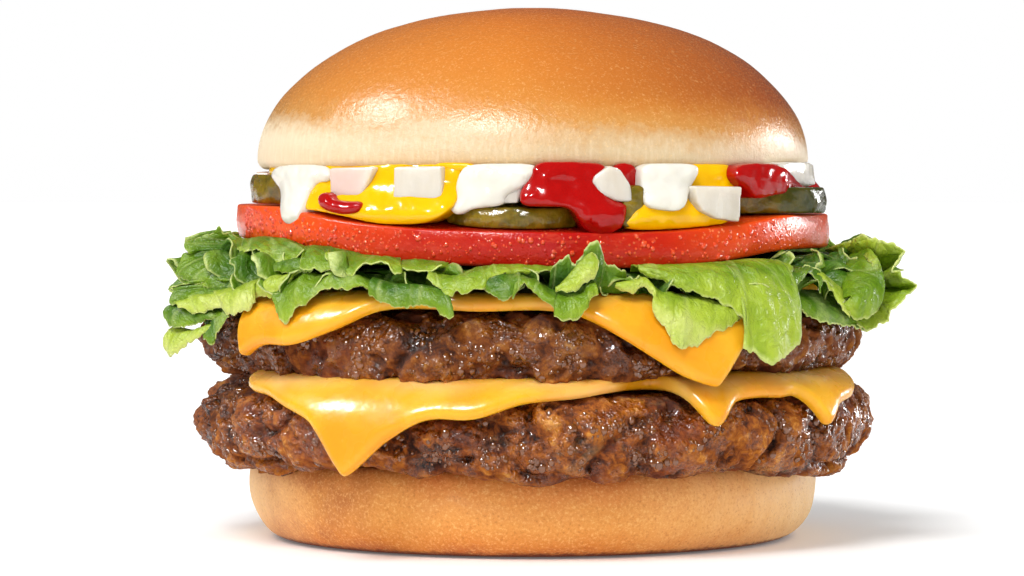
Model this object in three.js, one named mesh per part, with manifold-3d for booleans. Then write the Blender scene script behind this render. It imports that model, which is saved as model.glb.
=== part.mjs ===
// A double cheeseburger, stacked from the heel of the bun up to the crown.
// Millimetres, +Z up, front towards -Y, origin at the middle of the heel's flat base.
import * as THREE from "three";
import { ImprovedNoise } from "three/addons/math/ImprovedNoise.js";
import { mergeVertices } from "three/addons/utils/BufferGeometryUtils.js";
import Module from "manifold-3d";

const wasm = await Module();
wasm.setup();

const TAU = 2 * Math.PI;
const DEG = Math.PI / 180;
const GAP = 0.3; // air left between pieces that touch

// Driving sizes of the stack. Angles run anticlockwise from +X, so 270 is the front.
const HEEL = { radius: 49.5, baseRadius: 43, topRadius: 46.5, waist: 10, height: 14.6 };
const CROWN = { radius: 47.9, base: 64.3, lip: 1.6, top: 92.2 };
// Lobes are [angle, half width in degrees, size]: how far a rim sinks, or how far cheese has run.
const LOWER_PATTY = {
  radius: 59.4,
  edge: 7,
  under: 14.9,
  rimUnder: 14.6,
  top: 27.4,
  lumps: 2.6,
  seed: 3.7,
  sag: [
    [204, 18, 2.8],
    [270, 13, 1.3],
    [330, 20, 2.2],
    [30, 22, 2],
    [105, 20, 1.6],
    [155, 14, 2],
  ],
};
const UPPER_PATTY = {
  radius: 58.4,
  edge: 5.6,
  under: 30.8,
  rimUnder: 30.8,
  top: 41,
  lumps: 2.2,
  seed: 11.2,
  sag: [
    [196, 12, 2.2],
    [8, 12, 1.8],
    [102, 14, 2],
  ],
};
const CHEESE = { side: 89, thickness: 2.6, corner: 3 };
const LOWER_CHEESE = {
  patty: LOWER_PATTY,
  turn: 15,
  shift: [-1.2, -4.8],
  melt: 1.5,
  runs: [
    [262, 11, 6.6],
    [282, 12, 7.2],
    [299, 7, 8],
    [312, 8, 3.5],
    [100, 12, 5],
  ],
};
const UPPER_CHEESE = {
  patty: UPPER_PATTY,
  turn: -9,
  shift: [-0.2, -5.8],
  melt: 1.4,
  runs: [
    [231, 9, 1.8],
    [245, 8, 2.5],
    [262, 14, 7],
    [284, 9, 3.2],
    [80, 9, 5],
    [150, 9, 4],
  ],
};
const TOMATO = { radius: 51.9, thickness: 5.8, middle: 54.3, tilt: -0.0207, frontDrop: 3.2 };
const LEAF = { inner: 12, hem: 53, thickness: 0.6, columnStep: 5, innerRows: 1, frillRows: 3 };

const wave = (angle, count, phase) => Math.sin(angle * DEG * count + phase);
const polar = (angle, radius, z) => [
  radius * Math.cos(angle * DEG),
  radius * Math.sin(angle * DEG),
  z,
];
const range = (count) => [...Array(count).keys()];
const lerp = THREE.MathUtils.lerp;

// The sum at an angle of bell-shaped lobes, each [angle, half width, size, size of a second kind].
function lobesAt(lobes, angle, kind = 2) {
  return lobes.reduce((sum, lobe) => {
    const away = ((angle - lobe[0] + 540) % 360) - 180;
    return sum + lobe[kind] * Math.exp(-((away / lobe[1]) ** 2));
  }, 0);
}

// Materials, one for each foodstuff.
const food = (color, roughness) =>
  new THREE.MeshStandardMaterial({ color, roughness, metalness: 0, flatShading: true });
const CRUST = food(0xd98a45, 0.45);
const HEEL_CRUST = food(0xe2a263, 0.55);
const BEEF = food(0x6b4028, 0.5);
const CHEDDAR = food(0xf6b32f, 0.35);
const LETTUCE_GREEN = food(0x86b53f, 0.45);
const TOMATO_RED = food(0xcf3a26, 0.3);
const PICKLE_GREEN = food(0x7d7a2c, 0.35);
const ONION_WHITE = food(0xece4d4, 0.35);
const SAUCES = {
  mayonnaise: food(0xf7f1e4, 0.25),
  mustard: food(0xf8cf10, 0.25),
  ketchup: food(0xb31c1c, 0.2),
};

// A body from stacked rings of points, lowest first, each end closed by a fan to its middle.
function ringSolid(rings) {
  const count = rings[0].length;
  const middle = (ring) => [0, 1, 2].map((k) => ring.reduce((s, p) => s + p[k], 0) / count);
  const points = [...rings.flat(), middle(rings[0]), middle(rings.at(-1))];
  const foot = points.length - 2;
  const head = foot + 1;
  const lastRing = (rings.length - 1) * count;
  const index = [];
  for (const j of range(count)) {
    const next = (j + 1) % count;
    for (const k of range(rings.length - 1)) {
      const [a, b] = [k * count + j, k * count + next];
      index.push(a, b, b + count, a, b + count, a + count);
    }
    index.push(foot, next, j, head, lastRing + j, lastRing + next);
  }
  return new THREE.BufferGeometry()
    .setAttribute("position", new THREE.Float32BufferAttribute(points.flat(), 3))
    .setIndex(index);
}

// A thin body either side of the sheet at(u, v), both faces split into the same triangles.
function sheetSolid(us, vs, thickness, at) {
  const nudge = 1e-3;
  const faces = [[], []];
  for (const u of us)
    for (const v of vs) {
      const point = at(u, v);
      const along = at(u + nudge, v).sub(at(u - nudge, v));
      const across = at(u, v + nudge).sub(at(u, v - nudge));
      const lift = along.cross(across).setLength(thickness / 2);
      faces[0].push(...point.clone().add(lift).toArray());
      faces[1].push(...point.sub(lift).toArray());
    }
  const [rows, columns] = [us.length, vs.length];
  const other = rows * columns;
  const index = [];
  for (const i of range(rows - 1))
    for (const j of range(columns - 1)) {
      const a = i * columns + j;
      const [b, c, d] = [a + columns, a + columns + 1, a + 1];
      index.push(a, b, c, a, c, d, a + other, c + other, b + other, a + other, d + other, c + other);
    }
  const wall = (p, q) => index.push(p, p + other, q + other, p, q + other, q);
  for (const i of range(rows - 1)) {
    wall(i * columns, (i + 1) * columns);
    wall((i + 2) * columns - 1, (i + 1) * columns - 1);
  }
  for (const j of range(columns - 1)) {
    wall(j + 1, j);
    wall((rows - 1) * columns + j, (rows - 1) * columns + j + 1);
  }
  return new THREE.BufferGeometry()
    .setAttribute("position", new THREE.Float32BufferAttribute(faces.flat(), 3))
    .setIndex(index);
}

// A straight-sided block of the outline, its edges cut back at 45 degrees.
const bevelled = (outline, depth, bevel) =>
  new THREE.ExtrudeGeometry(new THREE.Shape(outline), {
    depth,
    bevelThickness: bevel,
    bevelSize: bevel,
    bevelSegments: 1,
  });

// Buns: turned profiles that are a little out of round.
function bun(profile, segments, uneven) {
  const outOfRound = (angle) => 1 + uneven * (wave(angle, 2, 0.8) + 0.6 * wave(angle, 3, 2.1));
  const angles = range(segments).map((j) => (360 * j) / segments);
  return ringSolid(profile.map(([r, z]) => angles.map((a) => polar(a, r * outOfRound(a), z))));
}

function heelProfile() {
  const { radius, baseRadius, topRadius, waist, height } = HEEL;
  const lower = range(5).map((k) => {
    const t = (k / 4) * 90 * DEG;
    return [lerp(baseRadius, radius, Math.sin(t)), waist * (1 - Math.cos(t))];
  });
  const upper = range(3).map((k) => {
    const t = ((k + 1) / 3) * 90 * DEG;
    return [lerp(topRadius, radius, Math.cos(t)), lerp(waist, height, Math.sin(t))];
  });
  return [...lower, ...upper];
}

function crownProfile(grow = 0) {
  const { radius, base, lip, top } = CROWN;
  const edge = [
    [radius - lip + grow, base - grow],
    [radius - 0.3 * lip + grow, base + 0.3 * lip - grow],
  ];
  const dome = range(8).map((k) => {
    const t = (k / 8) * 90 * DEG;
    return [(radius + grow) * Math.cos(t), lerp(base + lip, top, Math.sin(t))];
  });
  return [...edge, ...dome];
}

// A patty: a thick disc with a rounded side, whose crags only ever cut inwards.
function patty({ radius, edge, under, rimUnder, top, lumps, seed, sag }) {
  const noise = new ImprovedNoise();
  const segments = 56;
  const sideRings = 7;
  const inner = radius - edge;
  const side = range(sideRings + 1).map((k) => ((k / sideRings) * 180 - 90) * DEG);
  const ring = (at) => range(segments).map((j) => at((360 * j) / segments));
  const crag = (angle, tilt) => {
    const [x, y] = polar(angle, 1, 0);
    const large = noise.noise(3.1 * x + seed, 3.1 * y, 0.8 * tilt);
    const small = noise.noise(8.3 * x, 8.3 * y + seed, 1.9 * tilt);
    return lumps * Math.cos(tilt) ** 0.6 * Math.min(0, 1.1 * large + 0.8 * small - 0.3);
  };
  const sideRing = (tilt) =>
    ring((angle) => {
      const half = (top - rimUnder + lobesAt(sag, angle)) / 2;
      const reach = inner + edge * Math.max(0, Math.cos(tilt)) + crag(angle, tilt);
      return polar(angle, reach, top - half + half * Math.sin(tilt));
    });
  const underRing = ring((angle) => polar(angle, Math.min(inner, HEEL.radius) - 2, under));
  return ringSolid([underRing, ...side.map(sideRing)]);
}

// Cheese: a square slice, flat on the patty and bent down over its edge.
// melt stretches what hangs, runs are where more of it has flowed.
function cheeseSlice({ patty, turn, shift, melt, runs }) {
  const { side, thickness, corner } = CHEESE;
  const half = side / 2;
  const rest = patty.top + 1.6 * GAP + thickness / 2;
  const support = patty.radius - patty.edge + 4.5 * GAP;
  const bend = patty.edge + GAP + thickness / 2;
  const steepest = 84 * DEG;
  const outward = [0.3, 0.55, 0.74, 0.86, 0.94, 1];
  const lines = [...outward.map((line) => -line).reverse(), 0, ...outward];
  const middle = new THREE.Vector2();
  const at = (u, v) => {
    const roundOff = 1 - (corner / side) * Math.abs(u * v) ** 6;
    const spot = new THREE.Vector2(u * half * roundOff, v * half * roundOff);
    spot.rotateAround(middle, turn * DEG).add(new THREE.Vector2(...shift));
    const run = lobesAt(runs, spot.angle() / DEG) * Math.max(Math.abs(u), Math.abs(v)) ** 4;
    const flat = spot.length() + run;
    const beyond = Math.max(0, flat - support) * melt;
    const curl = Math.min(beyond / bend, steepest);
    const straight = beyond - curl * bend;
    const reach = Math.min(flat, support) + bend * Math.sin(curl) + straight * Math.cos(curl);
    const drop = bend * (1 - Math.cos(curl)) + straight * Math.sin(curl);
    const scale = flat > run ? reach / (flat - run) : 1;
    return new THREE.Vector3(spot.x * scale, spot.y * scale, rest - drop);
  };
  return sheetSolid(lines, lines, thickness, at);
}

// Tomato: one wide slice that leans a little and droops at the front.
const tomatoMiddle = (x, y) => {
  const { radius, middle, tilt, frontDrop } = TOMATO;
  return middle + tilt * x - frontDrop * (Math.min(0, y) / radius) ** 2;
};
function tomatoSlice(grow = 0) {
  const { radius, thickness } = TOMATO;
  const half = thickness / 2 + grow;
  const rings = [
    [0.55, -1],
    [0.975, -1],
    [1, -0.72],
    [0.995, 0.76],
    [0.965, 1],
    [0.55, 1],
  ];
  const angles = range(48).map((j) => j * 7.5);
  return ringSolid(
    rings.map(([share, side]) =>
      angles.map((angle) => {
        const lobed = 1 + 0.007 * wave(angle, 5, 0.4);
        const [x, y] = polar(angle, (radius * lobed + grow) * share, 0);
        return [x, y, tomatoMiddle(x, y) + side * half];
      }),
    ),
  );
}

// Lettuce: each leaf is a sheet that runs out between cheese and tomato to a ruffled margin.
// A margin is a base reach and height with lobes added: [angle, width, reach, rise].
const UPPER_MARGIN = {
  reach: 58.5,
  height: 47,
  share: [0.62, 0.86],
  ruffle: 2.6,
  lobes: [
    [198, 15, 3.5, 4.5],
    [226, 9, 0.5, 1.5],
    [252, 7, -1.5, -0.6],
    [281.5, 5, -2.5, 6.6],
    [302, 9, 0, -1],
    [337, 14, 4.5, 5.2],
    [358, 12, 8.4, -2.6],
    [35, 12, 2, 3],
    [78, 13, 5, -1.6],
    [118, 12, 3, 3.6],
    [155, 12, 5, 0],
  ],
};
const LOWER_MARGIN = {
  reach: 60.8,
  height: 42.9,
  share: [0.2, 0.4],
  ruffle: 2,
  lobes: [
    [199, 12, 4.4, -9.6],
    [176, 9, 3, -3],
    [227, 4.5, 1, -4],
    [256, 4.5, 0, -2.6],
    [277, 4.5, 0, -2.6],
    [294, 6, 2.8, -7.4],
    [308.5, 6, 4.4, -10.6],
    [337, 10, 4, -6],
    [20, 12, 2.5, -6],
    [58, 9, 2, -2],
    [92, 12, 3, -8],
    [132, 11, 2, -4],
  ],
};

const marginAt = ({ reach, height, lobes }, angle) => ({
  reach: reach + lobesAt(lobes, angle),
  height: height + lobesAt(lobes, angle, 3),
});

function leaf(margin, from, to, phase) {
  const { inner, hem, thickness, columnStep, innerRows, frillRows } = LEAF;
  const cheeseTop = UPPER_PATTY.top + 2.6 * GAP + CHEESE.thickness;
  const columns = Math.round((to - from) / columnStep);
  const us = range(columns + 1).map((i) => i / columns);
  const vs = [
    ...range(innerRows).map((i) => -1 + i / innerRows),
    ...range(frillRows + 1).map((i) => i / frillRows),
  ];
  const between = (angle, radius) => {
    const [x, y] = polar(angle, radius, 0);
    const under = tomatoMiddle(x, y) - TOMATO.thickness / 2 - GAP;
    const sway = 0.5 + 0.5 * wave(angle, 11, phase + radius / 9);
    return lerp(cheeseTop, under, lerp(...margin.share, sway));
  };
  const at = (u, v) => {
    const angle = lerp(from, to, u);
    if (v <= 0) {
      const radius = lerp(hem, inner, -v);
      return new THREE.Vector3(...polar(angle, radius, between(angle, radius)));
    }
    const { reach, height } = marginAt(margin, angle);
    const start = between(angle, hem);
    const turn = (v * Math.PI) / 2;
    const outward = [Math.cos(turn) * (reach - hem), Math.sin(turn) * (height - start)];
    const length = Math.hypot(...outward) || 1;
    const ruffle = 0.45 + 0.6 * wave(angle, 18, phase) + 0.25 * wave(angle, 29, 2 * phase);
    const away = margin.ruffle * v ** 1.3 * ruffle;
    const radius = hem + (reach - hem) * Math.sin(turn) - (away * outward[1]) / length;
    const z = start + (height - start) * (1 - Math.cos(turn)) + (away * outward[0]) / length;
    return new THREE.Vector3(...polar(angle, radius, z));
  };
  return sheetSolid(us, vs, thickness, at);
}

// Pickles: dill slices lying on the tomato. [name, x, y, radius, thickness]
const PICKLES = [
  ["pickle_left", -31.5, -8.5, 17, 5],
  ["pickle_front", -2.8, -37.2, 12.6, 3.4],
  ["pickle_piece", 19.2, -35.4, 4.6, 5.2],
  ["pickle_right", 34, -14.5, 16.2, 4.4],
  ["pickle_back_right", 23.6, 20.4, 16.6, 4.6],
  ["pickle_back_left", -15.6, 26.8, 16.6, 4.4],
];

function pickleSlice([, x, y, radius, thickness]) {
  const bevel = 0.7;
  const outline = range(16).map((j) => {
    const angle = 22.5 * j;
    const wavy = 1 + 0.03 * wave(angle, 3, x) + 0.01 * wave(angle, 5, y);
    const [px, py] = polar(angle, (radius - bevel) * wavy, 0);
    return new THREE.Vector2(px, py);
  });
  const depth = thickness - 2 * bevel;
  const slice = bevelled(outline, depth, bevel).translate(0, 0, bevel);
  return ontoTomato(slice, x, y);
}

// The plain block of air that a sauce leaves round a pickle slice.
function pickleRoom([, x, y, radius, thickness]) {
  const sides = 12;
  const reach = (radius * 1.04 + GAP) / Math.cos(Math.PI / sides);
  const room = new THREE.CylinderGeometry(reach, reach, thickness + 2 * GAP, sides);
  return ontoTomato(room.rotateX(90 * DEG).translate(0, 0, thickness / 2), x, y);
}

function ontoTomato(slice, x, y) {
  const step = 0.5;
  const slope = (dx, dy) => (tomatoMiddle(x + dx, y + dy) - tomatoMiddle(x - dx, y - dy)) / (2 * step);
  const normal = new THREE.Vector3(-slope(step, 0), -slope(0, step), 1).normalize();
  const turn = new THREE.Quaternion().setFromUnitVectors(new THREE.Vector3(0, 0, 1), normal);
  slice.applyQuaternion(turn);
  return slice.translate(x, y, tomatoMiddle(x, y) + TOMATO.thickness / 2 + GAP);
}

// Onion dice round the rim, each a cut block that is not quite square.
// [angle, radius, height of its middle, turn, size across, up, deep]
const ONION_DICE = [
  [230.5, 46.2, 61.5, 8, 7.2, 4.8, 6.2],
  [247, 46.6, 61.3, -14, 7.2, 5.2, 6],
  [265.2, 45.8, 61.5, 6, 7, 4.4, 6],
  [285, 46.2, 61.3, 14, 6.8, 5.2, 6],
  [310, 46.8, 59.4, -10, 7.6, 5.8, 6.4],
  [340.5, 44.4, 62.65, 20, 7.4, 2.5, 6.6],
  [9, 46, 60.2, -8, 7.2, 6, 6.2],
  [66, 45.8, 60.9, 12, 6.6, 5, 6.4],
  [91, 46.4, 60.9, -14, 7.4, 5.6, 6],
  [147, 45.8, 61.2, 10, 6.8, 4.8, 6.4],
  [170, 46.2, 61.4, -6, 7.2, 4.6, 6],
];

function onionDie([angle, radius, height, turn, across, up, deep]) {
  const bevel = 0.5;
  const skew = 0.09 * wave(angle, 7, 1);
  const [w, h] = [across / 2 - bevel, up / 2 - bevel];
  const outline = [
    [-w, -h * (1 - skew)],
    [w * (1 + skew), -h],
    [w * (1 - skew), h * (1 + skew)],
    [-w * (1 + skew), h],
  ].map(([x, y]) => new THREE.Vector2(x, y));
  const depth = deep - 2 * bevel;
  const die = bevelled(outline, depth, bevel).translate(0, 0, -depth / 2);
  return die.rotateX(90 * DEG).rotateZ((angle + 90 + turn) * DEG).translate(...polar(angle, radius, height));
}

// The plain block of air that a sauce leaves round an onion die.
function onionRoom([angle, radius, height, turn, across, up, deep]) {
  const room = new THREE.BoxGeometry(across * 1.1 + 2 * GAP, deep + 2 * GAP, up * 1.1 + 2 * GAP);
  return room.rotateZ((angle + 90 + turn) * DEG).translate(...polar(angle, radius, height));
}

// Sauces: squeezed blobs that fill the rim under the crown and run over the edge.
// Each blob is [angle, radius, height, half size across, half size in depth, half size up].
const BLOBS = {
  mayonnaise: [
    [
      "mayonnaise_left",
      [216.5, 45.6, 62, 7.6, 4.6, 2.4],
      [219.3, 49.2, 60.2, 3.4, 3.6, 3.4],
      [220.3, 52.8, 57.2, 2.1, 1.8, 3.4],
    ],
    ["mayonnaise_front", [262.5, 45, 60.9, 8.8, 4.2, 3.3], [257.8, 47.6, 60.2, 3.8, 3.2, 4]],
    ["mayonnaise_right", [296, 45.6, 61.4, 4.6, 4.2, 2.8], [297, 47.6, 59.6, 3.4, 3, 3.8]],
    ["mayonnaise_back_right", [35, 44.6, 61, 7.6, 4.6, 3.2], [37, 48.8, 59, 2.8, 3, 3.8]],
    ["mayonnaise_back_left", [107, 44.4, 61.2, 7.6, 4.8, 3], [106, 48.4, 59.8, 3.2, 3.4, 4]],
  ],
  mustard: [
    [
      "mustard_left",
      [238.5, 45.4, 59.8, 11.5, 4.8, 4.2],
      [241, 48.8, 57.2, 7.4, 2.8, 2.3],
      [227.5, 48, 59.4, 4, 3, 3],
    ],
    [
      "mustard_right",
      [312, 45, 61.2, 6.5, 4.4, 2.9],
      [305, 46, 59, 4.5, 4, 3],
      [299.5, 47.2, 56.9, 7.6, 3.6, 2.2],
    ],
    ["mustard_back_right", [78, 44.4, 60.4, 8.4, 5.4, 3.8], [80, 48.6, 58.8, 4.6, 3, 3]],
    ["mustard_back_left", [158, 44.6, 60.8, 7.4, 5, 3.2]],
  ],
  ketchup: [
    ["ketchup_left", [229.5, 50.4, 57.7, 4.4, 1.6, 1.9]],
    [
      "ketchup_front",
      [279, 45, 61.4, 8, 4.4, 2.9],
      [275, 48.4, 60.4, 6.2, 3.4, 3.6],
      [283, 50.2, 57.4, 3.9, 2.9, 4],
    ],
    ["ketchup_right", [326, 45.6, 62.3, 8.6, 4.4, 2.2]],
    ["ketchup_side", [355, 44.6, 61, 8, 5, 3.2], [353, 47.6, 59.6, 4.6, 3, 3]],
    ["ketchup_back_left", [131, 44.6, 61.4, 7, 5, 3], [130, 48.6, 60.4, 4, 3, 2.8]],
  ],
};

function toSolid(geometry) {
  const bare = geometry.clone();
  bare.deleteAttribute("normal");
  bare.deleteAttribute("uv");
  const merged = mergeVertices(bare, 1e-4);
  const vertProperties = new Float32Array(merged.attributes.position.array);
  const triVerts = new Uint32Array(merged.index.array);
  return new wasm.Manifold(new wasm.Mesh({ numProp: 3, vertProperties, triVerts }));
}

function fromSolid(solid) {
  const { vertProperties, triVerts } = solid.getMesh();
  return new THREE.BufferGeometry()
    .setAttribute("position", new THREE.BufferAttribute(vertProperties, 3))
    .setIndex(new THREE.BufferAttribute(triVerts, 1));
}

const join = (solids) => solids.reduce((all, one) => all.add(one));
const largest = (solid) =>
  solid.decompose().reduce((best, one) => (one.volume() > best.volume() ? one : best));

function blobSolid([angle, radius, height, across, deep, up]) {
  const blob = new THREE.IcosahedronGeometry(1, 1).scale(deep, across, up);
  return toSolid(blob.rotateZ(angle * DEG).translate(...polar(angle, radius, height)));
}

// Every sauce is cut back from what it lies against, and from the sauces laid before it.
function sauceMeshes() {
  const neighbours = join([
    toSolid(bun(crownProfile(GAP), 44, 0.006)),
    toSolid(tomatoSlice(GAP)),
    ...PICKLES.map((pickle) => toSolid(pickleRoom(pickle))),
    ...ONION_DICE.map((die) => toSolid(onionRoom(die))),
  ]);
  const grown = ([angle, radius, height, ...sizes]) => [
    angle,
    radius,
    height,
    ...sizes.map((size) => size + GAP),
  ];
  let laid = neighbours;
  return ["ketchup", "mayonnaise", "mustard"].flatMap((sauce) =>
    BLOBS[sauce].map(([name, ...blobs]) => {
      const body = largest(join(blobs.map(blobSolid)).subtract(laid));
      laid = laid.add(join(blobs.map((blob) => blobSolid(grown(blob)))));
      return named(name, fromSolid(body), SAUCES[sauce]);
    }),
  );
}

function named(name, geometry, material) {
  const mesh = new THREE.Mesh(geometry, material);
  mesh.name = name;
  return mesh;
}

const burger = new THREE.Group();
burger.add(
  named("heel", bun(heelProfile(), 44, 0.004), HEEL_CRUST),
  named("lower_patty", patty(LOWER_PATTY), BEEF),
  named("lower_cheese", cheeseSlice(LOWER_CHEESE), CHEDDAR),
  named("upper_patty", patty(UPPER_PATTY), BEEF),
  named("upper_cheese", cheeseSlice(UPPER_CHEESE), CHEDDAR),
  named("lettuce_lower_left", leaf(LOWER_MARGIN, 150, 238, 0.3), LETTUCE_GREEN),
  named("lettuce_lower_front", leaf(LOWER_MARGIN, 240, 352, 1.9), LETTUCE_GREEN),
  named("lettuce_lower_back", leaf(LOWER_MARGIN, 354, 508, 3.4), LETTUCE_GREEN),
  named("lettuce_upper_left", leaf(UPPER_MARGIN, 166, 262, 4.1), LETTUCE_GREEN),
  named("lettuce_upper_front", leaf(UPPER_MARGIN, 264, 322, 5.2), LETTUCE_GREEN),
  named("lettuce_upper_right", leaf(UPPER_MARGIN, 324, 412, 0.9), LETTUCE_GREEN),
  named("lettuce_upper_back", leaf(UPPER_MARGIN, 54, 164, 2.6), LETTUCE_GREEN),
  named("tomato", tomatoSlice(), TOMATO_RED),
  ...PICKLES.map((pickle) => named(pickle[0], pickleSlice(pickle), PICKLE_GREEN)),
  ...ONION_DICE.map((die, k) => named(`onion_${k + 1}`, onionDie(die), ONION_WHITE)),
  ...sauceMeshes(),
  named("crown", bun(crownProfile(), 44, 0.006), CRUST),
);

export default burger;
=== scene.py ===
import math
import random

import bpy
import numpy
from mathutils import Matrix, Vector, noise


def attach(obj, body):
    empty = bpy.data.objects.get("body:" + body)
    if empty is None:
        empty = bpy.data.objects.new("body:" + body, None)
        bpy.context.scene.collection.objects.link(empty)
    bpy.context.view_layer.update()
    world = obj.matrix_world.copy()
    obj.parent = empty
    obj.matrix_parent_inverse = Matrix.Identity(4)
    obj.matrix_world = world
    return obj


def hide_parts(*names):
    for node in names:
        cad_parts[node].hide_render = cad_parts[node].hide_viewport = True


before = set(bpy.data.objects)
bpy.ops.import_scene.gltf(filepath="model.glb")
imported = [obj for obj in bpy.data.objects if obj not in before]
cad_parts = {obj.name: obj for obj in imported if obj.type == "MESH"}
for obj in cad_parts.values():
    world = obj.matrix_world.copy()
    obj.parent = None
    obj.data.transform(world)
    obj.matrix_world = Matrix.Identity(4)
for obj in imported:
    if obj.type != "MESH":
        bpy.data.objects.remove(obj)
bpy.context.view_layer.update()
mm = 0.001
gap = 0.3
print("frame loaded,", len(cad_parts), "nodes")


# ---------- small tools for shaping

def deselectAll():
    if bpy.context.object and bpy.context.object.mode != "OBJECT":
        bpy.ops.object.mode_set(mode="OBJECT")
    bpy.ops.object.select_all(action="DESELECT")


def pick(piece):
    deselectAll()
    piece.select_set(True)
    bpy.context.view_layer.objects.active = piece


def polar(angle, radius, z):
    turn = math.radians(angle)
    return Vector((radius * math.cos(turn), radius * math.sin(turn), z))


def angleOf(x, y):
    return math.degrees(math.atan2(y, x)) % 360


def wave(angle, count, phase):
    return math.sin(math.radians(angle) * count + phase)


def lerp(a, b, t):
    return a + (b - a) * t


def smooth(low, high, value):
    t = min(1, max(0, (value - low) / (high - low)))
    return t * t * (3 - 2 * t)


# lobes are rows of angle, half width in degrees, size and perhaps a second size
def lobesAt(lobes, angle, kind=2):
    total = 0
    for lobe in lobes:
        away = (angle - lobe[0] + 540) % 360 - 180
        total += lobe[kind] * math.exp(-((away / lobe[1]) ** 2))
    return total


def shape(piece, rule):
    # moves every point by a rule that is worked out in millimetres
    for vertex in piece.data.vertices:
        vertex.co = rule(vertex.co / mm) * mm
    piece.data.update()


def paint(piece, name, values):
    layer = piece.data.attributes.new(name, "FLOAT", "POINT")
    layer.data.foreach_set("value", values)


def applied(piece, kind, **settings):
    pick(piece)
    bpy.ops.object.modifier_add(type=kind)
    modifier = piece.modifiers[-1]
    for key, value in settings.items():
        setattr(modifier, key, value)
    bpy.ops.object.modifier_apply(modifier=modifier.name)


def turned(name, profile, steps):
    # a profile of (radius, height) points, drawn edge by edge and spun round the upright axis
    deselectAll()
    bpy.ops.mesh.primitive_plane_add(size=mm, location=(0, 0, 0))
    piece = bpy.context.object
    piece.name = piece.data.name = name
    bpy.ops.object.mode_set(mode="EDIT")
    bpy.ops.mesh.select_all(action="SELECT")
    bpy.ops.mesh.merge(type="CENTER")
    start = profile[0]
    bpy.ops.transform.translate(value=(start[0] * mm, 0, start[1] * mm))
    for here, there in zip(profile, profile[1:]):
        step = ((there[0] - here[0]) * mm, 0, (there[1] - here[1]) * mm)
        bpy.ops.mesh.extrude_region_move(TRANSFORM_OT_translate={"value": step})
    bpy.ops.mesh.select_all(action="SELECT")
    bpy.ops.mesh.spin(steps=steps, angle=2 * math.pi, center=(0, 0, 0), axis=(0, 0, 1))
    bpy.ops.mesh.select_all(action="SELECT")
    bpy.ops.mesh.remove_doubles(threshold=0.01 * mm)
    bpy.ops.mesh.normals_make_consistent(inside=False)
    bpy.ops.object.mode_set(mode="OBJECT")
    return piece


def sheet(name, columns, rows):
    # a flat grid from -0.5 to 0.5 each way, that a rule then lays in place
    deselectAll()
    bpy.ops.mesh.primitive_grid_add(x_subdivisions=columns, y_subdivisions=rows, size=mm, calc_uvs=True)
    piece = bpy.context.object
    piece.name = piece.data.name = name
    return piece


def finishPiece(piece, material, slot, *nodes):
    pick(piece)
    bpy.ops.object.shade_smooth()
    piece.data.materials.clear()
    piece.data.materials.append(material)
    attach(piece, "root")
    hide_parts(*nodes)
    return piece


# ---------- materials written as expressions

class Signal:
    def __init__(self, recipe, socket):
        self.recipe = recipe
        self.socket = socket

    def maths(self, operation, first, second=0.0, clamp=False):
        settings = {"operation": operation, "use_clamp": clamp}
        return self.recipe.node("ShaderNodeMath", settings, {0: first, 1: second})

    def __add__(self, other):
        return self.maths("ADD", self, other)

    def __sub__(self, other):
        return self.maths("SUBTRACT", self, other)

    def __rsub__(self, other):
        return self.maths("SUBTRACT", other, self)

    def __mul__(self, other):
        return self.maths("MULTIPLY", self, other)

    def __truediv__(self, other):
        return self.maths("DIVIDE", self, other)

    def __rtruediv__(self, other):
        return self.maths("DIVIDE", other, self)

    def __pow__(self, other):
        return self.maths("POWER", self, other)

    __radd__ = __add__
    __rmul__ = __mul__

    def clamped(self):
        return self.maths("ADD", self, 0.0, clamp=True)

    def between(self, low, high):
        settings = {"interpolation_type": "SMOOTHSTEP"}
        return self.recipe.node("ShaderNodeMapRange", settings, {0: self, 1: low, 2: high})


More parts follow.
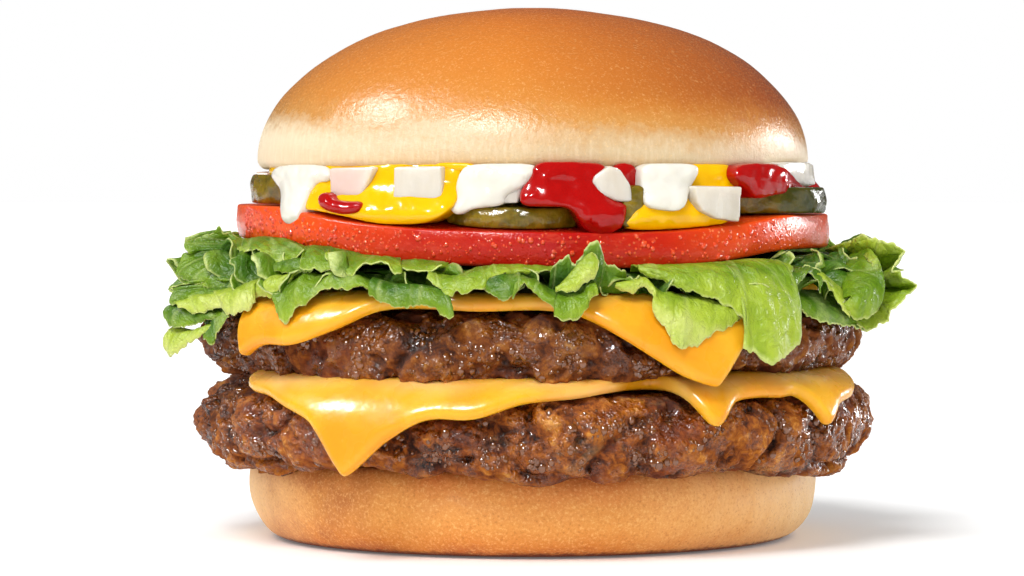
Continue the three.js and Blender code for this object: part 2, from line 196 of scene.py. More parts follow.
class Recipe:
    def __init__(self, name, **constants):
        self.material = bpy.data.materials.new(name)
        self.material.use_nodes = True
        self.tree = self.material.node_tree
        self.shader = self.tree.nodes["Principled BSDF"]
        for key, value in constants.items():
            self.shader.inputs[key.replace("_", " ")].default_value = value
        self.place = self.node("ShaderNodeTexCoord", output="Object")

    def node(self, kind, settings={}, values={}, output=0):
        made = self.tree.nodes.new(kind)
        for key, value in settings.items():
            if key == "stops":
                ramp = made.color_ramp
                while len(ramp.elements) < len(value):
                    ramp.elements.new(0.5)
                for element, (position, colour) in zip(ramp.elements, value):
                    element.position = position
                    element.color = (*colour, 1)
            else:
                setattr(made, key, value)
        for key, value in values.items():
            self.feed(made.inputs[key], value)
        return Signal(self, made.outputs[output])

    def feed(self, socket, value):
        if isinstance(value, Signal):
            self.tree.links.new(value.socket, socket)
        else:
            socket.default_value = value

    # grain is the size of the pattern in millimetres
    def mottle(self, grain, detail=2.0, roughness=0.5, distortion=0.0, stretch=None):
        place = self.place
        if stretch:
            place = self.node("ShaderNodeMapping", {}, {"Vector": place, "Scale": stretch})
        values = {"Vector": place, "Scale": 1000 / grain, "Detail": detail, "Roughness": roughness, "Distortion": distortion}
        return self.node("ShaderNodeTexNoise", {}, values)

    def cells(self, grain, feature="F1", output="Distance", randomness=1.0):
        values = {"Vector": self.place, "Scale": 1000 / grain, "Randomness": randomness}
        return self.node("ShaderNodeTexVoronoi", {"feature": feature}, values, output)

    def height(self):
        return self.node("ShaderNodeSeparateXYZ", {}, {0: self.place}, "Z") * 1000

    def across(self):
        return self.node("ShaderNodeSeparateXYZ", {}, {0: self.place}, "X") * 1000

    def attribute(self, name):
        return self.node("ShaderNodeAttribute", {"attribute_name": name}, {}, "Fac")

    def ramp(self, value, *stops):
        return self.node("ShaderNodeValToRGB", {"stops": stops}, {0: value})

    def blend(self, share, first, second, mode="MIX"):
        # sockets 6 and 7 are the two colours of a Mix node, and output 2 its colour
        settings = {"data_type": "RGBA", "blend_type": mode}
        first = first if isinstance(first, Signal) else (*first, 1)
        second = second if isinstance(second, Signal) else (*second, 1)
        return self.node("ShaderNodeMix", settings, {0: share, 6: first, 7: second}, 2)

    def bump(self, relief, depth, strength=1.0):
        # depth is in millimetres
        values = {"Height": relief, "Distance": depth * mm, "Strength": strength}
        self.feed(self.shader.inputs["Normal"], self.node("ShaderNodeBump", {}, values))

    def done(self, **inputs):
        for key, value in inputs.items():
            self.feed(self.shader.inputs[key.replace("_", " ")], value)
        return self.material


def srgb(red, green, blue):
    def linear(level):
        level = level / 255
        return level / 12.92 if level <= 0.04045 else ((level + 0.055) / 1.055) ** 2.4
    return linear(red), linear(green), linear(blue)


# ---------- camera, light and floor

view = {"eye": (0, -0.7, 0.0647), "lens": 140.3, "pitch": 88.234, "yaw": 0.287}


# each sun is name, power, softness, azimuth and elevation in degrees, and what it lights
light = {
    "around": 0.6,
    "reflected": 0.11,
    "suns": [
        ("key", 1.95, 22, 250, 53, "form"),
        ("left", 0.6, 60, 205, 36, "form"),
        ("front", 0.42, 50, 262, 14, "form"),
        ("side", 0.3, 60, 350, 24, "form"),
        ("window", 3.4, 7, 188, 46, "gloss"),
        ("glint", 5.5, 4, 246, 40, "gloss"),
        ("rim", 1.8, 10, 34, 8, "gloss"),
    ],
}


def makeStudio():
    scene = bpy.context.scene
    camera = bpy.data.objects.new("camera", bpy.data.cameras.new("camera"))
    scene.collection.objects.link(camera)
    camera.location = view["eye"]
    camera.rotation_euler = (math.radians(view["pitch"]), 0, math.radians(view["yaw"]))
    camera.data.lens = view["lens"]
    camera.data.sensor_width = 36
    camera.data.clip_start = 0.01
    scene.camera = camera

    deselectAll()
    bpy.ops.mesh.primitive_plane_add(size=12, location=(0, 0, -0.0002))
    floor = bpy.context.object
    floor.name = "floor"
    # the floor paper also glows faintly, which lightens the shadows on it
    paper = Recipe("paper", Roughness=0.9, Emission_Strength=0.1)
    floor.data.materials.append(paper.done(Base_Color=(0.95, 0.95, 0.95, 1)))

    # the camera sees plain white behind the object, while the light that reaches it is softer
    world = bpy.data.worlds.new("studio")
    world.use_nodes = True
    nodes, links = world.node_tree.nodes, world.node_tree.links
    paths = nodes.new("ShaderNodeLightPath")
    seen, mirrored = nodes.new("ShaderNodeMapRange"), nodes.new("ShaderNodeMapRange")
    mirrored.inputs["To Min"].default_value = light["around"]
    mirrored.inputs["To Max"].default_value = light["reflected"]
    seen.inputs["To Max"].default_value = 1.0
    links.new(paths.outputs["Is Glossy Ray"], mirrored.inputs["Value"])
    links.new(mirrored.outputs["Result"], seen.inputs["To Min"])
    links.new(paths.outputs["Is Camera Ray"], seen.inputs["Value"])
    links.new(seen.outputs["Result"], nodes["Background"].inputs["Strength"])
    nodes["Background"].inputs["Color"].default_value = (1, 1, 1, 1)
    scene.world = world

    for name, power, softness, azimuth, elevation, kind in light["suns"]:
        lamp = bpy.data.lights.new(name, "SUN")
        lamp.energy = power
        lamp.angle = math.radians(softness)
        holder = bpy.data.objects.new(name, lamp)
        scene.collection.objects.link(holder)
        holder.visible_glossy = kind != "form"
        holder.visible_diffuse = kind != "gloss"
        holder.rotation_euler = (math.radians(90 - elevation), 0, math.radians(azimuth + 90))
    scene.view_settings.view_transform = "Standard"
    scene.view_settings.look = "None"


makeStudio()
print("studio ready")

# ---------- buns

heel = {"radius": 49.5, "baseRadius": 43, "topRadius": 46.5, "waist": 10, "height": 14.6}
crown = {"radius": 47.9, "base": 64.3, "lip": 1.6, "top": 92.2}


def heelRecipe():
    crust = Recipe("heelCrust", Specular_IOR_Level=0.3)
    z = crust.height()
    x = crust.across()
    patches = crust.mottle(16, 3) * 8 + crust.mottle(3.5, 2) * 3 - 5.5
    level = (z + patches) / 15
    colour = crust.ramp(
        level.clamped(),
        (0.0, srgb(198, 112, 48)),
        (0.12, srgb(217, 134, 54)),
        (0.4, srgb(226, 152, 70)),
        (0.62, srgb(224, 148, 70)),
        (0.85, srgb(220, 134, 64)),
        (1.0, srgb(200, 106, 50)),
    )
    # paler, with upright streaks, towards the right: pale wrinkled crust and painted light from the right
    pale = crust.mottle(3, 4, 0.6, stretch=(1, 1, 0.5))
    colour = crust.blend((((x - 14) / 30).clamped() * pale * 1.1).clamped(), colour, srgb(252, 208, 142))
    # both ends paler: painted rim light where the crust turns away at the sides
    ends = ((x * x - 1300) / 1000).clamped()
    colour = crust.blend(ends * 0.6, colour, srgb(255, 222, 166))
    near = (x + 36) / 12
    shade = (1 - near * near).clamped() * crust.mottle(7, 3).between(0.3, 0.7)
    colour = crust.blend(shade * 0.8, colour, srgb(178, 98, 40))
    grain = crust.mottle(0.5, 3, 0.75)
    pores = crust.mottle(1.2, 2, 0.6)
    colour = crust.blend(grain.between(0.5, 0.68) * 0.55, colour, srgb(246, 196, 122))
    colour = crust.blend((1 - grain.between(0.3, 0.46)) * 0.5, colour, srgb(180, 98, 40))
    edge = 1 - (z + pores * 1.2).between(0.9, 1.7)
    colour = crust.blend(edge * 0.9, colour, srgb(116, 48, 18))
    crust.bump(grain * 0.6 + pores * 1.0, 0.35, 0.6)
    return crust.done(Base_Color=colour, Roughness=0.5 + grain * 0.2)


def crownRecipe():
    crust = Recipe("crownCrust", Specular_IOR_Level=0.42)
    z = crust.height()
    x = crust.across()
    patches = crust.mottle(20, 3) * 5 - 2.5 + crust.mottle(1.5, 3, 0.65) * 4.5 - 2.2
    # the x term makes the crust paler on the left and browner on the right: baked colour and painted light and shade
    # from the left-hand light
    level = (z + patches + x * 0.05 - 64) / 28
    colour = crust.ramp(
        level.clamped(),
        (0.0, srgb(204, 166, 116)),
        (0.11, srgb(202, 176, 134)),
        (0.2, srgb(198, 158, 106)),
        (0.29, srgb(198, 138, 68)),
        (0.4, srgb(202, 129, 50)),
        (0.6, srgb(206, 124, 44)),
        (0.8, srgb(208, 120, 38)),
        (0.93, srgb(208, 113, 30)),
        (1.0, srgb(203, 104, 22)),
    )
    # the top right is darkened to a redder brown: baked tan and painted shade on the side away from the light
    tanned = ((x + 4) / 44).clamped() * level.between(0.26, 0.52)
    colour = crust.blend(tanned * 0.8, colour, srgb(144, 54, 14))
    grain = crust.mottle(0.5, 4, 0.8)
    dots = grain.between(0.54, 0.74)
    colour = crust.blend(dots * 0.5, colour, srgb(250, 206, 136))
    colour = crust.blend((1 - grain.between(0.26, 0.46)) * 0.3, colour, srgb(160, 84, 30))
    wrinkles = crust.mottle(1.5, 3, 0.6, 0.4)
    streaks = crust.mottle(0.7, 3, 0.65, stretch=(1, 1, 0.2))
    pale = 1 - level.between(0.12, 0.3)
    colour = crust.blend(pale * streaks.between(0.4, 0.75) * 0.25, colour, srgb(236, 220, 190))
    # the pale lip band is paler still at both ends: painted rim light
    ends = (x * x / 2300).clamped()
    colour = crust.blend(pale * ends * 0.55, colour, srgb(252, 238, 208))
    crust.bump(grain * 0.35 + wrinkles * 0.9 + streaks * pale * 0.3, 0.3, 0.5)
    return crust.done(Base_Color=colour, Roughness=0.16 + grain * 0.2 + pale * 0.3)


def makeHeel():
    radius, waist, height = heel["radius"], heel["waist"], heel["height"]
    profile = [(0, 0), (20, 0), (36, 0), (heel["baseRadius"] - 1, 0)]
    for k in range(14):
        t = math.radians(90 * k / 13)
        profile.append((lerp(heel["baseRadius"], radius, math.sin(t)), waist * (1 - math.cos(t))))
    for k in range(1, 8):
        t = math.radians(90 * k / 7)
        profile.append((lerp(heel["topRadius"], radius, math.cos(t)), lerp(waist, height, math.sin(t))))
    profile += [(42, height), (24, height), (0, height)]
    piece = turned("heelBun", profile, 240)

    def uneven(p):
        angle = angleOf(p.x, p.y)
        grow = 1 + 0.004 * (wave(angle, 2, 0.8) + 0.6 * wave(angle, 3, 2.1))
        rise = smooth(0.2, 4, p.z)
        dent = rise * (noise.noise(p * 0.06) * 0.7 + noise.noise(p * 0.25) * 0.18)
        flat = Vector((p.x, p.y, 0))
        out = flat.normalized() * dent if flat.length > 30 else Vector()
        return Vector((p.x * grow, p.y * grow, p.z)) + out

    shape(piece, uneven)
    return finishPiece(piece, heelRecipe(), "heel_crust", "heel")


def makeCrown():
    radius, base, lip, top = crown["radius"], crown["base"], crown["lip"], crown["top"]
    profile = [(0, base), (24, base), (40, base)]
    for k in range(6):
        t = math.radians(90 * k / 5)
        profile.append((radius - lip + lip * math.sin(t), base + lip - lip * math.cos(t)))
    for k in range(1, 37):
        t = math.radians(90 * k / 36)
        profile.append((radius * math.cos(t), lerp(base + lip, top, math.sin(t))))
    piece = turned("crownBun", profile, 240)

    def uneven(p):
        angle = angleOf(p.x, p.y)
        grow = 1 + 0.006 * (wave(angle, 2, 0.8) + 0.6 * wave(angle, 3, 2.1))
        rise = smooth(64.5, 66, p.z)
        dent = rise * (noise.noise(p * 0.045) * 0.5 + noise.noise(p * 0.2) * 0.08)
        out = Vector((p.x, p.y, (p.z - base) * 2)).normalized() * dent
        dip = 0.55 * noise.noise(polar(angle, 9, 0) * 0.3) + 0.25 * noise.noise(polar(angle, 40, 5) * 0.3) - 0.1
        dip *= smooth(36, 46, math.hypot(p.x, p.y)) * smooth(69, 65, p.z)
        return Vector((p.x * grow, p.y * grow, p.z + dip)) + out

    shape(piece, uneven)
    return finishPiece(piece, crownRecipe(), "crown_crust", "crown")


makeHeel()
makeCrown()
print("buns baked")

# ---------- patties

lowerPatty = {
    "radius": 59.4, "edge": 7, "under": 14.9, "rimUnder": 14.6, "top": 27.4, "seed": 3.7,
    "sag": [(204, 18, 2.8), (270, 13, 1.3), (330, 20, 2.2), (30, 22, 2), (105, 20, 1.6), (155, 14, 2)],
}
upperPatty = {
    "radius": 58.4, "edge": 5.6, "under": 30.8, "rimUnder": 30.8, "top": 41, "seed": 41.2,
    "sag": [(196, 12, 2.2), (228, 22, 2.5), (265, 22, 2.5), (8, 12, 1.8), (102, 14, 2)],
}


def beefRecipe():
    beef = Recipe("beef", Specular_IOR_Level=0.3, Coat_Roughness=0.1)
    # the beef is darker in creases, grooves and pits and lighter on raised crumbs: painted shade
    hollow = beef.attribute("hollow")
    crumbs = beef.mottle(1.4, 6, 0.74, 0.8)
    clumps = beef.mottle(5, 4, 0.62, 0.8)
    tone = (hollow * 0.5 + crumbs * 1.1 + clumps * 0.9 - 0.82).clamped()
    colour = beef.ramp(
        tone,
        (0.08, srgb(23, 7, 2)),
        (0.24, srgb(75, 32, 6)),
        (0.43, srgb(129, 64, 12)),
        (0.62, srgb(166, 95, 23)),
        (0.86, srgb(214, 150, 66)),
    )
    red = beef.mottle(14, 4, 0.65).between(0.5, 0.62)
    colour = beef.blend(red * 0.4, colour, srgb(128, 56, 24))
    fat = beef.mottle(8, 6, 0.7, 0.5).between(0.56, 0.7)
    colour = beef.blend(fat * 0.3, colour, srgb(180, 136, 86))
    sear = beef.attribute("sear")
    char = beef.mottle(3.4, 6, 0.75).between(0.6, 0.68)
    colour = beef.blend((sear * 0.5).clamped(), colour, srgb(84, 34, 14))
    colour = beef.blend((char * (0.25 + sear)).clamped(), colour, srgb(14, 8, 6))
    # the upper patty is painted darker all over: painted shade
    upper = beef.height().between(29, 31)
    colour = beef.blend(upper * 0.42, colour, srgb(60, 26, 6))
    wet = beef.mottle(4.5, 3, 0.65).between(0.44, 0.56)
    beads = beef.cells(1.2)
    drops = beef.cells(0.7)
    domes = (1 - beads * beads * 2.2).clamped() * 0.45 + (1 - drops * drops * 2.2).clamped() * 0.22
    beef.bump(beef.mottle(2.2, 3, 0.6) * 0.8 + wet * domes, 0.7, 1.0)
    return beef.done(Base_Color=colour, Roughness=0.95 - wet * 0.7, Coat_Weight=wet * 0.3)


def makePatty(name, size, material, slot, node):
    radius, edge, top, seed = size["radius"], size["edge"], size["top"], size["seed"]
    inner = radius - edge
    sideRings = 64
    middle = (top + size["rimUnder"]) / 2
    half = (top - size["rimUnder"]) / 2
    profile = [(0, size["under"]), (26, size["under"]), (40, size["under"])]
    for k in range(sideRings + 1):
        tilt = math.radians(180 * k / sideRings - 90)
        square = 0.8 if tilt < 0 else 1
        profile.append((inner + edge * math.cos(tilt) ** square, middle + half * math.sin(tilt)))
    profile += [(46, top), (34, top), (18, top), (0, top)]
    piece = turned(name, profile, 860)
    hollows, sears = [], []

    def mince(p):
        angle = angleOf(p.x, p.y)
        reach = math.hypot(p.x, p.y)
        side = smooth(inner - 5, inner + 1.5, reach)
        share = min(1, max(0, (top - p.z) / (2 * half)))
        sag = lobesAt(size["sag"], angle) * smooth(inner - 6, inner, reach)
        around = polar(angle, 60, seed)
        fringe = max(0, noise.noise(around * 0.16) + 0.25) * 1.3 * side * smooth(0.75, 1, share)
        z = p.z - sag * share - fringe
        q = Vector((p.x, p.y, z)) + Vector((seed, seed, 0))
        warp = noise.noise_vector(q * 0.08) * 3.4 + noise.noise_vector(q * 0.35) * 1.0
        bent = q + warp
        big = noise.noise(bent * 0.05)
        middling = noise.noise(bent * 0.12)
        crease = smooth(0, 0.16, abs(noise.noise(bent * 0.07 + Vector((9, 4, 2)))))
        near = noise.voronoi(bent * 0.15)[0]
        groove = min(1, (near[1] - near[0]) * 2.6)
        cell = noise.voronoi(bent * 0.5)[0]
        crumb = min(1, (cell[1] - cell[0]) * 1.8)
        pit = smooth(0.5, 0.22, noise.voronoi(bent * 0.2 + Vector((5, 2, 1)))[0][0] * 1.6)
        fine = noise.fractal(q * 0.7, 0.9, 2.1, 4)
        relief = 1.5 * big + 0.8 * middling + 1.5 * (crease - 0.9) + 0.5 * (groove - 0.8) + 0.26 * (crumb - 0.6) + 0.36 * fine - 0.8 * pit - 0.2
        relief += lobesAt([(194, 26, 1)], angle) * (1.3 * noise.noise(q * 0.3) + 0.7 * noise.noise(q * 0.8) - 1.4)
        # lower in creases and pits than on raised crumbs, for the painted shade in the beef colour
        hollows.append(min(1, max(0, 0.05 + 0.34 * crease + 0.22 * groove + 0.2 * crumb + 0.25 * middling + 0.2 * fine - 0.4 * pit)))
        rim = smooth(0.86, 1, share) + smooth(0.12, 0, share)
        sears.append(min(1, max(0, rim * (0.9 + 1.2 * noise.noise(around * 0.3)))) * side)
        tilt = (p.z - middle) / half
        out = Vector((p.x / reach, p.y / reach, 0.5 * tilt)) if reach > 1 else Vector()
        return Vector((p.x, p.y, z)) + out * relief * side

    shape(piece, mince)
    paint(piece, "hollow", hollows)
    paint(piece, "sear", sears)
    return finishPiece(piece, material, slot, node)


# small domes scattered on the side of a piece, one modelled and the rest copied from it
def makeBeads(name, size, host, middle, material, slot, node):
    dice = random.Random(size["seed"])
    side = bpy.data.objects[host]
    spots = []
    for number in range(size["count"]):
        angle = lerp(size["first"], size["last"], dice.random() ** size["crowd"])
        radius = lerp(size["smallest"], size["largest"], dice.random() ** 3)
        start = polar(angle, 80, dice.uniform(-0.5, 0.5) * size["band"])
        start.z += middle(start.x * 0.65, start.y * 0.65)
        hit, place, normal, face = side.ray_cast(start * mm, -polar(angle, 1, 0))
        if hit and noise.noise(place / mm * 0.2) > size["gather"]:
            spots.append((place, normal.to_track_quat("X", "Z").to_euler(), (radius, radius, radius)))
    deselectAll()
    bpy.ops.mesh.primitive_uv_sphere_add(segments=8, ring_count=6, radius=mm)
    first = bpy.context.object
    bpy.ops.object.mode_set(mode="EDIT")
    bpy.ops.mesh.select_all(action="SELECT")
    bpy.ops.transform.resize(value=(size["flatness"], 1, 1.15), center_override=(0, 0, 0))
    bpy.ops.object.mode_set(mode="OBJECT")
    beads = [first]
    for spot in spots[1:]:
        bead = bpy.data.objects.new(name, first.data.copy())
        bpy.context.scene.collection.objects.link(bead)
        beads.append(bead)
    deselectAll()
    for bead, (place, turn, scale) in zip(beads, spots):
        bead.location, bead.rotation_euler, bead.scale = place, turn, scale
        bead.select_set(True)
    bpy.context.view_layer.objects.active = first
    bpy.ops.object.transform_apply(location=True, rotation=True, scale=True)
    bpy.ops.object.join()
    piece = bpy.context.object
    piece.name = piece.data.name = name
    return finishPiece(piece, material, slot, node)


# melted fat on the sides of the patties
grease = {
    "count": 1500, "smallest": 0.26, "largest": 0.74, "first": 196, "last": 346, "crowd": 1, "band": 10,
    "flatness": 0.5, "gather": 0.1, "seed": 5,
}


beef = beefRecipe()
makePatty("lowerPatty", lowerPatty, beef, "beef", "lower_patty")
makePatty("upperPatty", upperPatty, beef, "beef", "upper_patty")
fat = Recipe("fat", Specular_IOR_Level=1.0, Roughness=0.2)
fat.done(Base_Color=fat.blend(fat.mottle(3, 2), srgb(84, 40, 12), srgb(136, 78, 30)))
makeBeads("lowerGrease", grease, "lowerPatty", lambda x, y: 20.5, fat.material, "beef", "lower_patty")
makeBeads("upperGrease", grease, "upperPatty", lambda x, y: 35, fat.material, "beef", "upper_patty")
print("patties grilled")

# ---------- cheese slices

cheese = {"side": 89, "thickness": 2.6}
# runs hang further and slides go round the patty by degrees, each as angle, width and amount
lowerCheese = {
    "turn": 15, "shift": (-1.2, -4.8), "melt": 1.5, "corner": 3.4, "crest": 0.6,
    "runs": [
        (152, 12, -4), (339, 8, 4.6), (331, 6, 2.4), (215, 7, 6.4), (224, 7, 3.2), (231, 5, 1), (240, 5, 1.3), (248, 6, 1.2), (262, 11, 6.2), (280, 12, 7.6),
        (298, 4.2, 8.9), (304, 6, 4.9), (311, 5, 2.2), (318, 3, -2.4), (100, 12, 5),
    ],
    "slides": [(326, 14, -4)],
}
upperCheese = {
    "turn": -12.5, "shift": (0.8, -5.8), "melt": 1.4, "corner": 4.5, "crest": 0.2,
    "runs": [
        (320, 7, -2.5), (219, 6, 2.2), (230, 7, 5.4), (239.5, 7, 6.2), (262, 14, 7), (284, 9, 4.6), (293, 8, 2.2), (301, 7, 0.6),
        (80, 9, 5), (150, 9, 4),
    ],
    "slides": [(203, 11, 12), (301, 12, -1.6)],
}


def cheeseRecipe():
    melted = Recipe("cheese", Subsurface_Weight=0.3, Subsurface_Scale=0.003, Specular_IOR_Level=0.4)
    melted.shader.inputs["Subsurface Radius"].default_value = (1.0, 0.55, 0.12)
    tint = melted.mottle(14, 2)
    colour = melted.blend(tint.between(0.35, 0.65), srgb(231, 152, 16), srgb(242, 177, 33))
    # pale cream along the bend over the patty's edge: painted highlight
    colour = melted.blend(melted.attribute("crest"), colour, srgb(250, 212, 140))
    melted.bump(melted.mottle(3.5, 2) + melted.mottle(1.2, 2) * 0.12, 0.5, 0.4)
    return melted.done(Base_Color=colour, Roughness=0.2 + melted.mottle(5, 2) * 0.16)


def makeCheese(name, size, patty, material, slot, node):
    half = cheese["side"] / 2
    thickness = cheese["thickness"]
    rest = patty["top"] + 1.6 * gap + thickness / 2
    support = patty["radius"] - patty["edge"] + 4.5 * gap
    bend = patty["edge"] + gap + thickness / 2
    steepest = math.radians(84)
    turn = math.radians(size["turn"])
    piece = sheet(name, 72, 72)
    crests = []

    def drape(p):
        u, v = 2 * p.x, 2 * p.y
        roundOff = 1 - size["corner"] / cheese["side"] * abs(u * v) ** 6
        x, y = u * half * roundOff, v * half * roundOff
        x, y = x * math.cos(turn) - y * math.sin(turn), x * math.sin(turn) + y * math.cos(turn)
        x += size["shift"][0]
        y += size["shift"][1]
        flat = math.hypot(x, y)
        x, y = polar(angleOf(x, y) + lobesAt(size["slides"], angleOf(x, y)) * smooth(36, 50, flat), flat, 0).xy
        run = lobesAt(size["runs"], angleOf(x, y)) * max(abs(u), abs(v)) ** 4
        edgeNoise = noise.noise(Vector((x * 0.09, y * 0.09, rest))) * 1.3 * max(abs(u), abs(v)) ** 6
        long = flat + run + edgeNoise
        beyond = max(0, long - support) * size["melt"]
        curl = min(beyond / bend, steepest)
        straight = beyond - curl * bend
        reach = min(long, support) + bend * math.sin(curl) + straight * math.cos(curl)
        drop = bend * (1 - math.cos(curl)) + straight * math.sin(curl)
        patch = 0.7 + noise.noise(Vector((x * 0.1, y * 0.1, 8)))
        # a painted highlight along the bend, patchy, fading on both sides of it
        crests.append(size["crest"] * patch * smooth(0.1, 0.3, curl) * smooth(0.8, 0.45, curl))
        swell = noise.noise(Vector((x * 0.07, y * 0.07, 3 + drop * 0.05))) * 0.5 * smooth(40, 50, flat)
        scale = reach / flat if flat > 0.01 else 1
        return Vector((x * scale, y * scale, rest - drop + swell * math.cos(curl))) + polar(angleOf(x, y), swell * math.sin(curl), 0)

    shape(piece, drape)
    paint(piece, "crest", crests)
    applied(piece, "SOLIDIFY", thickness=thickness * mm, offset=0)
    applied(piece, "SUBSURF", levels=1, render_levels=1)
    return finishPiece(piece, material, slot, node)


cheddar = cheeseRecipe()
makeCheese("lowerCheese", lowerCheese, lowerPatty, cheddar, "cheese", "lower_cheese")
makeCheese("upperCheese", upperCheese, upperPatty, cheddar, "cheese", "upper_cheese")
print("cheese melted")

# ---------- tomato

tomato = {"radius": 51.9, "thickness": 5.8, "middle": 54.1, "tilt": -0.0165, "frontDrop": 3.2}


def tomatoMiddle(x, y):
    return tomato["middle"] + tomato["tilt"] * x - tomato["frontDrop"] * smooth(0.5, 1, -y / tomato["radius"])


def tomatoRecipe():
    flesh = Recipe("tomato", Subsurface_Weight=0.06, Subsurface_Scale=0.002, Specular_IOR_Level=0.22)
    flesh.shader.inputs["Subsurface Radius"].default_value = (1.0, 0.2, 0.08)
    x = flesh.across()
    ends = ((x * x) / 1600 + flesh.mottle(14, 2) * 0.8 - 0.4).clamped()
    colour = flesh.blend(ends, srgb(180, 20, 12), srgb(236, 80, 14))
    # pale orange specks: dots in the flesh and painted glints of juice
    specks = 1 - flesh.cells(0.9).between(0.12, 0.34)
    many = flesh.mottle(9, 2).between(0.4, 0.62)
    colour = flesh.blend(specks * many * 0.8, colour, srgb(246, 140, 76))
    veined = flesh.mottle(2.4, 3, 0.6, stretch=(1, 1, 3)).between(0.5, 0.75)
    colour = flesh.blend(veined * 0.3, colour, srgb(226, 92, 60))
    flesh.bump(flesh.mottle(0.7, 3, 0.6) + specks * 0.6, 0.16, 0.6)
    return flesh.done(Base_Color=colour, Roughness=0.12 + flesh.mottle(3, 2) * 0.2)


def makeTomato():
    half = tomato["thickness"] / 2
    radius = tomato["radius"]
    profile = [(0, -half), (20, -half), (38, -half), (radius - 2, -half), (radius - 1, -half)]
    for k in range(1, 6):
        t = math.radians(90 * k / 5)
        profile.append((radius - 1 + 0.8 * math.sin(t), -half + 0.8 - 0.8 * math.cos(t)))
    profile += [(radius, -half * 0.4), (radius + 0.1, 0), (radius, half * 0.45)]
    for k in range(1, 6):
        t = math.radians(90 * k / 5)
        profile.append((radius - 0.55 + 0.45 * math.cos(t), half - 0.45 + 0.45 * math.sin(t)))
    profile += [(radius - 2, half), (38, half), (20, half), (0, half)]
    piece = turned("tomatoSlice", profile, 320)

    def lean(p):
        angle = angleOf(p.x, p.y)
        lobed = 1 + 0.007 * wave(angle, 5, 0.4)
        bumpy = noise.noise(Vector((p.x * 0.12, p.y * 0.12, p.z * 0.2))) * 0.35 + noise.noise(p * 0.5) * 0.08
        x, y = p.x * lobed, p.y * lobed
        out = Vector((x, y, 0)).normalized() * bumpy if abs(x) + abs(y) > 30 else Vector()
        return Vector((x, y, tomatoMiddle(x, y) + p.z)) + out

    shape(piece, lean)
    return finishPiece(piece, tomatoRecipe(), "tomato", "tomato")


# juice on the cut rim
drops = {
    "count": 420, "smallest": 0.16, "largest": 0.5, "first": 198, "last": 324, "crowd": 1.7, "band": 4.8,
    "flatness": 0.7, "gather": -1, "seed": 12,
}


makeTomato()
juice = Recipe("juice", Specular_IOR_Level=1.0, Roughness=0.08)
juice.done(Base_Color=juice.blend(juice.mottle(20, 2), srgb(210, 46, 18), srgb(234, 88, 34)))
makeBeads("tomatoDrops", drops, "tomatoSlice", tomatoMiddle, juice.material, "tomato", "tomato")
print("tomato sliced")

# ---------- lettuce

leafSize = {"inner": 12, "hem": 53, "thickness": 0.26, "columnStep": 0.8, "rows": 22, "refine": 2}
upperMargin = {
    "reach": 57.2, "height": 48.8, "share": (0.62, 0.86), "ruffle": 1.5,
    "lobes": [
        (198, 15, 1, 2.6), (266, 48, -5, -3.2), (247, 10, -2, -2.4), (297, 14, -1, -1.6), (337, 14, 0.5, 1), (358, 12, 3, -1.6),
        (35, 12, 2, 3), (78, 13, 4, -1.6), (118, 12, 3, 3.6), (155, 12, 3, 0),
    ],
}
middleMargin = {
    "reach": 58.5, "height": 45.8, "share": (0.42, 0.58), "ruffle": 2.2,
    "lobes": [(186, 9, 1, -1), (205, 9, 0, 1.5), (262, 42, -3.6, 1.2), (345, 12, 1, -1.5), (4, 12, 2, 1)],
}
lowerMargin = {
    "reach": 60.2, "height": 43.6, "share": (0.2, 0.4), "ruffle": 1.8,
    "lobes": [
        (187, 8, 0.6, -3.4), (176, 9, 1.5, -3), (206, 5, 0, -1), (262, 42, -3.6, 2.4), (337, 8, 0, -1),
        (20, 12, 2.5, -6), (58, 9, 2, -2), (92, 12, 3, -8), (132, 11, 2, -4),
    ],
}
# each row: piece, node, margin, first and last angle, phase, growth, fray
leaves = [
    ("leaf_lower_left", "lettuce_lower_left", lowerMargin, 150, 238, 0.3, 0.5, 1),
    ("leaf_lower_front", "lettuce_lower_front", lowerMargin, 240, 352, 1.9, 0.4, 1),
    ("leaf_lower_back", "lettuce_lower_back", lowerMargin, 354, 508, 3.4, 0.5, 1),
    ("leaf_middle_left", "lettuce_lower_left", middleMargin, 168, 243, 5.7, 0.55, 1),
    ("leaf_middle_right", "lettuce_upper_right", middleMargin, 313, 372, 2.2, 0.4, 1.2),
    ("leaf_upper_left", "lettuce_upper_left", upperMargin, 166, 262, 4.1, 0.55, 1),
    ("leaf_upper_front", "lettuce_upper_front", upperMargin, 264, 322, 5.2, 0.5, 1),
    ("leaf_upper_right", "lettuce_upper_right", upperMargin, 324, 412, 0.9, 0.35, 1.5),
    ("leaf_upper_back", "lettuce_upper_back", upperMargin, 54, 164, 2.6, 0.55, 1),
]


